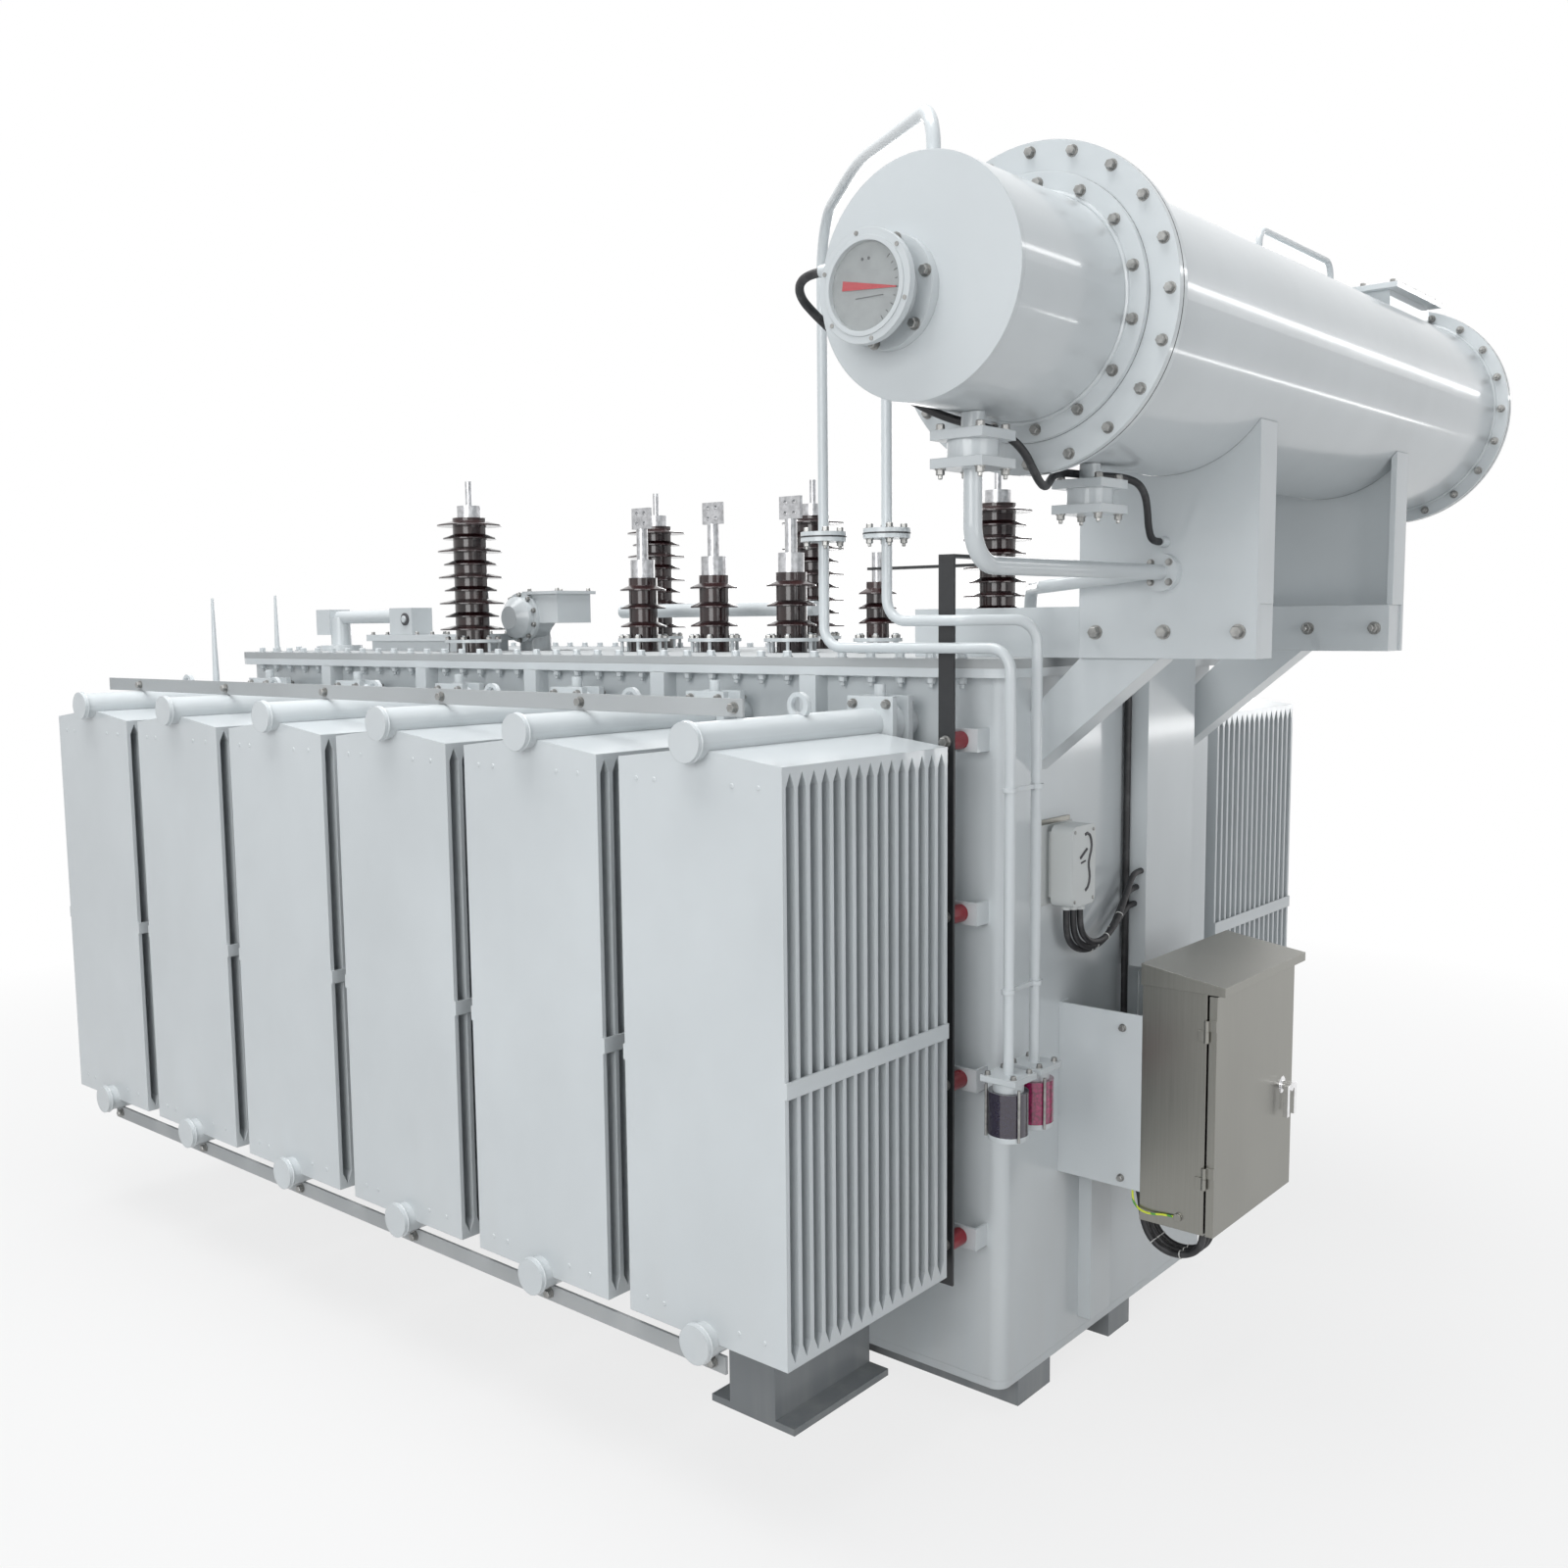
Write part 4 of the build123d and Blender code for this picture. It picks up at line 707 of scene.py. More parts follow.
@dataclass
class Mesh:
    """A piece under construction: its corners and faces."""

    name: str
    coat: Coat
    corners: list[Vector] = field(default_factory=list)
    faces: list[tuple[int, ...]] = field(default_factory=list)

    def lathe(
        self,
        foot: Vector,
        axis: Vector,
        profile: Sequence[tuple[float, float]],
        sides: int,
        hollow: bool = False,
    ) -> None:
        """Add a turned form.

        Args:
            foot: Where the axis starts.
            axis: Its direction.
            profile: Radius and distance along the axis, from the foot up.
            sides: Facets round the axis.
            hollow: Whether the profile's end joins its start, as in a ring.
        """
        across, along = square_to(axis)
        start = len(self.corners)
        for radius, height in profile:
            for step in range(sides):
                angle = 2 * math.pi * step / sides
                rim = across * math.cos(angle) + along * math.sin(angle)
                self.corners.append(foot + axis * height + rim * radius)
        for ring in range(len(profile) if hollow else len(profile) - 1):
            low, high = start + ring * sides, start + (ring + 1) % len(profile) * sides
            for step in range(sides):
                after = (step + 1) % sides
                self.faces.append((low + step, low + after, high + after, high + step))
        if not hollow:
            last = start + (len(profile) - 1) * sides
            self.faces.append(tuple(reversed(range(start, start + sides))))
            self.faces.append(tuple(range(last, last + sides)))

    def bolt(self, foot: Vector, axis: Vector, across: float) -> None:
        """Add a hexagon head on a washer.

        Args:
            foot: The seat's centre.
            axis: Direction away from the seat.
            across: Width across the corners.
        """
        washer, rim = WASHER_THICK * across, WASHER_RADIUS * across
        self.lathe(foot, axis, [(rim, 0), (rim, washer)], 14)
        half, head = across / 2, HEAD_HEIGHT * across
        profile = [(half, 0), (half, CHAMFER_START * head), (HEAD_TOP * half, head)]
        self.lathe(foot + axis * washer, axis, profile, 6)

    def hexagon(self, foot: Vector, axis: Vector, across: float, height: float) -> None:
        """Add a plain nut round a stud that is there already.

        Args:
            foot: The seat's centre.
            axis: Direction away from the seat.
            across: Width across the corners.
            height: The nut's height.
        """
        half = across / 2
        profile = [(half, 0), (half, CHAMFER_START * height), (NUT_TOP * half, height)]
        self.lathe(foot, axis, profile, 6)

    def nut(self, foot: Vector, axis: Vector, across: float) -> None:
        """Add a nut with the bolt's end standing out of it.

        Args:
            foot: The seat's centre.
            axis: Direction away from the seat.
            across: Width across the corners.
        """
        self.bolt(foot, axis, across)
        stud, length, end = STUD_RADIUS * across, STUD_LENGTH * across, STUD_END * across
        self.lathe(foot, axis, [(stud, 0), (stud, length), (STUD_TOP * stud, end)], 10)

    def slab(self, low: Point, high: Point) -> None:
        """Add a box.

        Args:
            low: Its lowest corner.
            high: Its highest corner.
        """
        start = len(self.corners)
        for x in (low[0], high[0]):
            for y in (low[1], high[1]):
                for z in (low[2], high[2]):
                    self.corners.append(Vector((x, y, z)))
        sides = ((0, 1, 3, 2), (4, 6, 7, 5), (0, 4, 5, 1), (2, 3, 7, 6), (0, 2, 6, 4), (1, 5, 7, 3))
        for side in sides:
            self.faces.append(tuple(start + corner for corner in side))

    def bead(
        self,
        path: Sequence[Vector],
        pole: Vector,
        radius: float,
        closed: bool = False,
        sides: int = 8,
    ) -> None:
        """Add a round bead along a path.

        Args:
            path: Its points, on a plane.
            pole: The direction that the plane faces.
            radius: The bead's radius.
            closed: Whether its end joins its start.
            sides: Facets round it.
        """
        start = len(self.corners)
        count = len(path)
        for index, point in enumerate(path):
            before = path[index - 1] if closed or index > 0 else point
            after = path[(index + 1) % count] if closed or index < count - 1 else point
            across = (after - before).cross(pole).normalized()
            for step in range(sides):
                angle = 2 * math.pi * step / sides
                rim = across * math.cos(angle) + pole * math.sin(angle)
                self.corners.append(point + rim * radius)
        for index in range(count if closed else count - 1):
            low = start + index * sides
            high = start + ((index + 1) % count) * sides
            for step in range(sides):
                after = (step + 1) % sides
                self.faces.append((low + step, low + after, high + after, high + step))
        if not closed:
            last = start + (count - 1) * sides
            self.faces.append(tuple(reversed(range(start, start + sides))))
            self.faces.append(tuple(range(last, last + sides)))

    def outline(self, points: Sequence[Vector], depth: Vector) -> None:
        """Add a flat plate.

        Args:
            points: Its outline in order.
            depth: The offset of its other face.
        """
        start = len(self.corners)
        count = len(points)
        self.corners += list(points) + [point + depth for point in points]
        self.faces.append(tuple(range(start, start + count)))
        self.faces.append(tuple(reversed(range(start + count, start + 2 * count))))
        for step in range(count):
            after = (step + 1) % count
            near, far = start + step, start + after
            self.faces.append((near, near + count, far + count, far))

    def place(self, body: str = FIXED_BODY) -> bpy.types.Object:
        """Put the piece in the scene.

        Args:
            body: The moving body that it rides on.

        Returns:
            The new object.
        """
        data = bpy.data.meshes.new(self.name)
        data.from_pydata([tuple(corner) for corner in self.corners], [], self.faces)
        data.validate()
        data.shade_smooth()
        data.set_sharp_from_angle(angle=SHARP_ANGLE)
        data.materials.append(WORKSHOP.material(self.coat))
        made = bpy.data.objects.new(self.name, data)
        bpy.context.scene.collection.objects.link(made)
        LOG.info("%s: %d faces on %s", self.name, len(self.faces), body)
        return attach(made, body)


def circle(centre: Vector, axis: Vector, radius: float, count: int, turn: float = 0.0) -> list[Vector]:
    """Points spaced round a circle.

    Args:
        centre: Its centre.
        axis: The direction that it faces.
        radius: Its radius.
        count: How many points.
        turn: Angle of the first point, in radians.

    Returns:
        The points in order.
    """
    across, along = square_to(axis)
    angles = [turn + 2 * math.pi * step / count for step in range(count)]
    return [centre + (across * math.cos(angle) + along * math.sin(angle)) * radius for angle in angles]


def corners(centre: Vector, first: Vector, second: Vector) -> list[Vector]:
    """The corners of a rectangle.

    Args:
        centre: Its centre.
        first: Half of one side.
        second: Half of the other side.

    Returns:
        The four corners.
    """
    return [centre + first * one + second * two for one in (-1, 1) for two in (-1, 1)]


def evenly(low: float, high: float, count: int) -> list[float]:
    """Values spaced evenly between two ends.

    Args:
        low: The first value.
        high: The last value.
        count: How many values.

    Returns:
        The values in order.
    """
    return [low + (high - low) * step / (count - 1) for step in range(count)]


def middle(node: str) -> Vector:
    """The centre of a CAD node's box.

    Args:
        node: The node's name.

    Returns:
        The centre.
    """
    low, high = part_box(node)
    return (low + high) / 2


def size(node: str) -> Vector:
    """The size of a CAD node's box.

    Args:
        node: The node's name.

    Returns:
        Its lengths along X, Y and Z.
    """
    low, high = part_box(node)
    return high - low


@dataclass
class Conservator:
    """The bolted rings, welds and gaskets of the drum; sizes in metres."""

    ring_bolts: int = 20
    ring_circle: float = 0.318
    flange_bolts: int = 15
    flange_circle: float = 0.25
    flange_thick: float = 0.014
    bolt_width: float = 0.02
    hatch_bolt: float = 0.016
    hatch_inset: float = 0.02
    hatch_along: int = 5
    hatch_across: int = 4
    drum_radius: float = 0.297
    weld: float = 0.006
    weld_steps: int = 72
    gasket: float = 0.003
    gasket_proud: float = 0.0003
    gasket_steps: int = 96

    def build(self) -> None:
        """Make the fasteners, the welds and the gaskets."""
        self.rings()
        self.hatch()
        self.welds()
        self.gaskets()

    def on_axis(self, y: float) -> Vector:
        """A point on the drum's axis.

        Args:
            y: Its place along the drum.

        Returns:
            The point.
        """
        axis = middle("conservator_body")
        return Vector((axis.x, y, axis.z))

    def rings(self) -> None:
        """Bolts on both ends of the drum and on the oil chamber's flange."""
        ring_low, ring_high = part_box("conservator_front_ring")
        end_low, end_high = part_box("conservator_far_end")
        thick = size("conservator_front_ring").y
        bolts = Mesh("conservator_bolts", Coat.ZINC)
        for y, way in ((ring_low.y, FRONT), (end_high.y, BACK)):
            for foot in circle(self.on_axis(y), way, self.ring_circle, self.ring_bolts):
                bolts.bolt(foot, way, self.bolt_width)
        for y, way in ((ring_high.y + thick, BACK), (end_low.y - thick, FRONT)):
            for foot in circle(self.on_axis(y), way, self.ring_circle, self.ring_bolts):
                bolts.nut(foot, way, self.bolt_width)
        flange = self.on_axis(ring_low.y - self.flange_thick)
        for foot in circle(flange, FRONT, self.flange_circle, self.flange_bolts):
            bolts.bolt(foot, FRONT, self.bolt_width)
        bolts.place()

    def hatch(self) -> None:
        """Bolts round the hatch's plate."""
        low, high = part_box("conservator_hatch")
        xs = evenly(low.x + self.hatch_inset, high.x - self.hatch_inset, self.hatch_across)
        ys = evenly(low.y + self.hatch_inset, high.y - self.hatch_inset, self.hatch_along)
        bolts = Mesh("hatch_bolts", Coat.ZINC)
        for y in ys:
            for x in xs:
                if y in (ys[0], ys[-1]) or x in (xs[0], xs[-1]):
                    bolts.bolt(Vector((x, y, high.z)), UP, self.hatch_bolt)
        bolts.place()

    def welds(self) -> None:
        """Weld beads where drum and chamber meet their rings."""
        body_low, body_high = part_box("conservator_body")
        thick = size("conservator_front_ring").y
        seams = (
            (body_low.y + thick, self.drum_radius),
            (body_high.y - thick, self.drum_radius),
            (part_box("oil_chamber")[1].y - self.flange_thick, size("oil_chamber_end").z / 2),
        )
        welds = Mesh("conservator_welds", Coat.TANK)
        for y, radius in seams:
            ring = circle(self.on_axis(y), FRONT, radius + self.weld / 3, self.weld_steps)
            welds.bead(ring, FRONT, self.weld, True)
        welds.place()

    def gaskets(self) -> None:
        """Thin dark lines where the rings are bolted together."""
        body_low, body_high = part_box("conservator_body")
        ring_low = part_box("conservator_front_ring")[0]
        big, small = size("conservator_front_ring").x / 2, size("oil_chamber").x / 2
        gaskets = Mesh("conservator_gaskets", Coat.BLACK)
        for y, radius in ((body_low.y, big), (body_high.y, big), (ring_low.y, small)):
            reach = radius + self.gasket_proud
            foot = self.on_axis(y - self.gasket / 2)
            gaskets.lathe(foot, BACK, [(reach, 0), (reach, self.gasket)], self.gasket_steps)
        gaskets.place()


@dataclass
class Gauge:
    """The oil gauge's bolts, rim, dial, pointers and pane; sizes in metres."""

    bolts: int = 6
    bolt_width: float = 0.02
    bolt_circle: float = 0.097
    bolt_turn: float = math.radians(15)
    collar_thick: float = 0.022
    screw_circle: float = 0.099
    screw_turn: float = math.radians(40)
    screw_radius: float = 0.0045
    screw_sink: float = 0.002
    screw_proud: float = 0.0015
    rim_radius: float = 0.106
    rim_bore: float = 0.0905
    rim_thick: float = 0.016
    rim_inset: float = 0.002
    dial_radius: float = 0.0815
    dial_depth: float = 0.0115
    dial_sink: float = 0.0002
    dial_turn: float = math.radians(-8)
    steps: int = 64
    print_thick: float = 0.0004
    print_lift: float = 0.0006
    mark_reach: int = 4
    mark_pitch: float = math.radians(13)
    mark_start: float = 0.066
    mark_long: float = 0.074
    mark_short: float = 0.071
    stroke_half: float = 0.0009
    dot_offsets: tuple[float, ...] = (-0.010, 0.005)
    dot_rise: float = 0.051
    dot_radius: float = 0.0032
    pointer_lift: float = 0.002
    pointer_thick: float = 0.0012
    pointer_tail: float = 0.056
    pointer_tip: float = 0.070
    pointer_half: float = 0.009
    pointer_tip_half: float = 0.0012
    needle_start: Point = (-0.025, 0.0, -0.02)
    needle_length: float = 0.064
    pane_depth: float = 0.003
    pane_thick: float = 0.0015

    def build(self) -> None:
        """Make the gauge's pieces, from its collar to its pane."""
        self.fasteners()
        self.rim()
        self.dial()
        self.marks()
        self.pointers()
        self.pane()

    @property
    def front(self) -> Vector:
        """The middle of the gauge's front.

        Returns:
            The point.
        """
        low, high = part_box("oil_gauge")
        return Vector((high.x - (high.z - low.z) / 2, low.y, (low.z + high.z) / 2))

    @property
    def face(self) -> Vector:
        """The middle of the dial.

        Returns:
            The point.
        """
        return self.front + BACK * self.dial_depth

    @staticmethod
    def toward(angle: float) -> Vector:
        """A direction on the dial.

        Args:
            angle: Its angle above the level, in radians.

        Returns:
            The direction.
        """
        return Vector((math.cos(angle), 0, math.sin(angle)))

    def fasteners(self) -> None:
        """The collar's bolts and the rim's screws."""
        collar = Vector(self.front)
        collar.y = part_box("oil_gauge")[1].y - self.collar_thick
        bolts = Mesh("gauge_bolts", Coat.ZINC)
        for foot in circle(collar, FRONT, self.bolt_circle, self.bolts, self.bolt_turn):
            bolts.bolt(foot, FRONT, self.bolt_width)
        screw = [(self.screw_radius, -self.screw_sink), (self.screw_radius, self.screw_proud)]
        seat = self.front + BACK * self.rim_inset
        for foot in circle(seat, FRONT, self.screw_circle, self.bolts, self.screw_turn):
            bolts.lathe(foot, FRONT, screw, 10)
        bolts.place()

    def rim(self) -> None:
        """The flange of the gauge's rim."""
        bore, reach, thick = self.rim_bore, self.rim_radius, self.rim_thick
        profile = [(bore, 0), (reach, 0), (reach, thick), (bore, thick)]
        rim = Mesh("gauge_rim", Coat.TANK)
        rim.lathe(self.front + BACK * (self.rim_inset + thick), FRONT, profile, self.steps, True)
        rim.place()

    def dial(self) -> None:
        """The plain face."""
        profile = [(self.dial_radius, -self.dial_sink), (self.dial_radius, self.print_thick)]
        dial = Mesh("gauge_dial", Coat.DIAL)
        dial.lathe(self.face, FRONT, profile, self.steps)
        dial.place()

    def marks(self) -> None:
        """Strokes along the scale and two dots above it."""
        base = self.face + FRONT * self.print_lift
        marks = Mesh("gauge_marks", Coat.MARK)
        for step in range(-self.mark_reach, self.mark_reach + 1):
            way = self.toward(step * self.mark_pitch + self.dial_turn)
            end = self.mark_long if step % 2 == 0 else self.mark_short
            self.stroke(marks, base, way, self.mark_start, end)
        dot = [(self.dot_radius, 0), (self.dot_radius, self.print_thick)]
        for offset in self.dot_offsets:
            marks.lathe(base + Vector((offset, 0, self.dot_rise)), FRONT, dot, 12)
        marks.place()

    def pointers(self) -> None:
        """The wide red pointer and the thin dark needle."""
        hub = self.face + FRONT * self.pointer_lift
        way = self.toward(self.dial_turn)
        across = way.cross(FRONT)
        wide, thin = across * self.pointer_half, across * self.pointer_tip_half
        tail, tip = way * -self.pointer_tail, way * self.pointer_tip
        outline = [hub + corner for corner in (tail - wide, tip - thin, tip + thin, tail + wide)]
        pointer = Mesh("gauge_pointer", Coat.POINTER)
        pointer.outline(outline, FRONT * self.pointer_thick)
        pointer.place()
        needle = Mesh("gauge_needle", Coat.MARK)
        self.stroke(needle, hub + Vector(self.needle_start), OUT, 0.0, self.needle_length)
        needle.place()

    def pane(self) -> None:
        """The clear pane."""
        profile = [(self.dial_radius, 0), (self.dial_radius, self.pane_thick)]
        pane = Mesh("gauge_pane", Coat.PANE)
        pane.lathe(self.front + BACK * self.pane_depth, FRONT, profile, self.steps)
        pane.place()

    def stroke(self, mesh: Mesh, centre: Vector, way: Vector, start: float, end: float) -> None:
        """Add a printed stroke on the dial.

        Args:
            mesh: The piece that takes it.
            centre: The point that it is measured from.
            way: The stroke's direction.
            start: Its distance from that point.
            end: Its far end's distance.
        """
        half = way.cross(FRONT) * self.stroke_half
        near, far = centre + way * start, centre + way * end
        mesh.outline([near - half, far - half, far + half, near + half], FRONT * self.print_thick)


@dataclass
class Radiators:
    """Fasteners and welds on the two radiator banks; sizes in metres."""

    count: int = 6
    pitch: float = 0.6
    valve_bolt: float = 0.022
    valve_bolt_half: float = 0.055
    valve_length: float = 0.092
    tie_bolt: float = 0.024
    tie_y: float = 1.278
    tie_end: float = 1.45
    tie_half: float = 0.0225
    plug: float = 0.0075
    plug_taper: float = 0.7
    plug_sink: float = 0.002
    plug_proud: float = 0.0018
    plug_offsets: tuple[float, ...] = (-0.2, -0.14, 0.11, 0.19)
    plug_drop: float = 0.05
    weld: float = 0.0035
    weld_steps: int = 40
    face_y: float = 1.467
    cap_y: float = 1.495
    cap_radius: float = 0.0475
    fin_zs: tuple[float, float] = (0.451, 1.858)
    header_zs: tuple[float, float] = (0.453, 1.905)

    def build(self) -> None:
        """Make the bolts, plugs and welds of both banks."""
        ties = Mesh("tie_bar_bolts", Coat.ZINC)
        flanges = Mesh("radiator_valve_bolts", Coat.ZINC)
        plugs = Mesh("radiator_plugs", Coat.TANK)
        welds = Mesh("radiator_welds", Coat.TANK)
        first = (self.count - 1) * self.pitch / 2
        for x in evenly(first, -first, self.count):
            for way in (FRONT, BACK):
                self.tie_bolts(ties, x, way)
                self.valve_bolts(flanges, x, way)
                self.plugs(plugs, x, way)
                self.welds(welds, x, way)
        for mesh in (ties, flanges, plugs, welds):
            mesh.place()

    def tie_bolts(self, mesh: Mesh, x: float, way: Vector) -> None:
        """Bolts through the tie bars at one radiator.

        Args:
            mesh: The piece that takes them.
            x: The radiator's middle.
            way: Direction away from the tank.
        """
        low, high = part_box("tie_bars")
        top = Vector((min(x, self.tie_end), way.y * self.tie_y, high.z - self.tie_half))
        mesh.bolt(top, way, self.tie_bolt)
        mesh.bolt(Vector((x, way.y * high.y, low.z + self.tie_half)), way, self.tie_bolt)

    def valve_bolts(self, mesh: Mesh, x: float, way: Vector) -> None:
        """Corner bolts through the flanges of one radiator's valves.

        Args:
            mesh: The piece that takes them.
            x: The radiator's middle.
            way: Direction away from the tank.
        """
        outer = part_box("radiator_valves")[1].y
        half = self.valve_bolt_half
        for z in self.header_zs:
            for seat in corners(Vector((x, way.y * outer, z)), OUT * half, UP * half):
                mesh.bolt(seat, way, self.valve_bolt)
                mesh.nut(seat - way * self.valve_length, -way, self.valve_bolt)

    def plugs(self, mesh: Mesh, x: float, way: Vector) -> None:
        """Plug welds along the top and bottom edge of the outer fin.

        Args:
            mesh: The piece that takes them.
            x: The radiator's middle.
            way: Direction away from the tank.
        """
        profile = [(self.plug, -self.plug_sink), (self.plug * self.plug_taper, self.plug_proud)]
        bottom, top = self.fin_zs
        for offset in self.plug_offsets:
            for z in (bottom + self.plug_drop, top - self.plug_drop):
                mesh.lathe(Vector((x + offset, way.y * self.face_y, z)), way, profile, 12)

    def welds(self, mesh: Mesh, x: float, way: Vector) -> None:
        """Weld beads round the header caps.

        Args:
            mesh: The piece that takes them.
            x: The radiator's middle.
            way: Direction away from the tank.
        """
        for z in self.header_zs:
            cap = Vector((x, way.y * self.cap_y, z))
            mesh.bead(circle(cap, way, self.cap_radius, self.weld_steps), way, self.weld, True)


@dataclass
class Cover:
    """Bolts round the cover, and the fittings on it; sizes in metres."""

    pitch: float = 0.1
    bolt_width: float = 0.026
    flange_thick: float = 0.025
    edge_inset: float = 0.0225
    corner: float = 0.1
    arm_gaps: tuple[tuple[float, float], ...] = ((-0.53, -0.40), (0.0, 0.36), (0.40, 0.53))
    bushings: tuple[Point, ...] = (
        (-0.609, -0.44, 0.092), (-0.504, 0.43, 0.092), (0.321, 0.43, 0.092), (1.128, 0.43, 0.092),
        (0.0, -0.15, 0.081), (0.348, -0.15, 0.081), (0.696, -0.15, 0.081), (1.05, -0.15, 0.066),
    )
    clamp_studs: int = 6
    clamp_nut: float = 0.022
    clamp_height: float = 0.0098
    stud_top: float = 0.014
    relief_eye: Point = (-1.15, -0.35, 2.205)
    eye_profile: Profile = ((0.025, 0.0), (0.025, 0.004), (0.021, 0.006))
    knob_profile: Profile = ((0.014, 0.0), (0.014, 0.01), (0.011, 0.012))
    relief_box: float = 0.17
    lid_inset: float = 0.02
    lid_bolt: float = 0.016
    lid_span: float = 0.2
    dome: Point = (-0.67, -0.161, 2.206)
    dome_circle: float = 0.088
    dome_bolts: int = 10

    def build(self) -> None:
        """Make the cover's bolts and the small pieces on its fittings."""
        self.edge_bolts()
        self.bushing_clamps()
        self.relief_knob()
        self.hatchway_bolts()
        self.gear_bolts()

    def edge_bolts(self) -> None:
        """Heads on top of the cover's edge and nuts under the flange, clear of the arms."""
        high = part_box("tank_cover")[1]
        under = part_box("tank_wall")[1].z - self.flange_thick
        edge_x, edge_y = high.x - self.edge_inset, high.y - self.edge_inset
        seats = []
        along = int((high.x - self.corner) / self.pitch)
        for step in range(-along, along + 1):
            seats += [(step * self.pitch, edge_y), (step * self.pitch, -edge_y)]
        across = int((high.y - self.corner) / self.pitch)
        for step in range(-across, across + 1):
            y = step * self.pitch
            seats.append((-edge_x, y))
            if not any(start <= y <= end for start, end in self.arm_gaps):
                seats.append((edge_x, y))
        bolts = Mesh("cover_bolts", Coat.TANK)
        for x, y in seats:
            bolts.bolt(Vector((x, y, high.z)), UP, self.bolt_width)
            bolts.nut(Vector((x, y, under)), DOWN, self.bolt_width)
        bolts.place()

    def bushing_clamps(self) -> None:
        """Nuts on the studs that hold each bushing's foot."""
        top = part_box("bushing_bases")[1].z - self.stud_top
        turn = math.pi / self.clamp_studs
        clamps = Mesh("bushing_clamps", Coat.ZINC)
        for x, y, reach in self.bushings:
            for foot in circle(Vector((x, y, top)), UP, reach, self.clamp_studs, turn):
                clamps.hexagon(foot, UP, self.clamp_nut, self.clamp_height)
        clamps.place()

    def relief_knob(self) -> None:
        """The dark eye with a pale middle on the relief valve's box."""
        ring = Mesh("relief_eye", Coat.MARK)
        ring.lathe(Vector(self.relief_eye), FRONT, self.eye_profile, 28)
        ring.place()
        knob = Mesh("relief_knob", Coat.TANK)
        knob.lathe(Vector(self.relief_eye), FRONT, self.knob_profile, 20)
        knob.place()

    def hatchway_bolts(self) -> None:
        """Bolts round the hatchway's lid, left out where the relief valve's box stands."""
        low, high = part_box("cover_hatchway")
        box_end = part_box("relief_valve")[1].x
        box_y = middle("relief_valve").y
        start, end = low.x + self.lid_inset, high.x - self.lid_inset
        bolts = Mesh("hatchway_bolts", Coat.ZINC)
        for x in evenly(start, end, round((end - start) / self.pitch) + 1):
            clear = not box_end - self.relief_box < x < box_end + self.lid_inset
            for y in (low.y + self.lid_inset, high.y - self.lid_inset):
                if clear or y > box_y:
                    bolts.bolt(Vector((x, y, high.z)), UP, self.lid_bolt)
        bolts.place()

    def gear_bolts(self) -> None:
        """Bolts round the dome of the tap changer's gear and on its lid."""
        turn = math.pi / self.dome_bolts
        bolts = Mesh("gear_bolts", Coat.ZINC)
        for foot in circle(Vector(self.dome), FRONT, self.dome_circle, self.dome_bolts, turn):
            bolts.bolt(foot, FRONT, self.lid_bolt)
        half = self.lid_span / 2
        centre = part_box("tap_changer_gear")[1] - OUT * half - BACK * half
        reach = half - self.lid_inset
        for seat in corners(centre, OUT * -reach, BACK * -reach):
            bolts.bolt(seat, UP, self.lid_bolt)
        bolts.place()


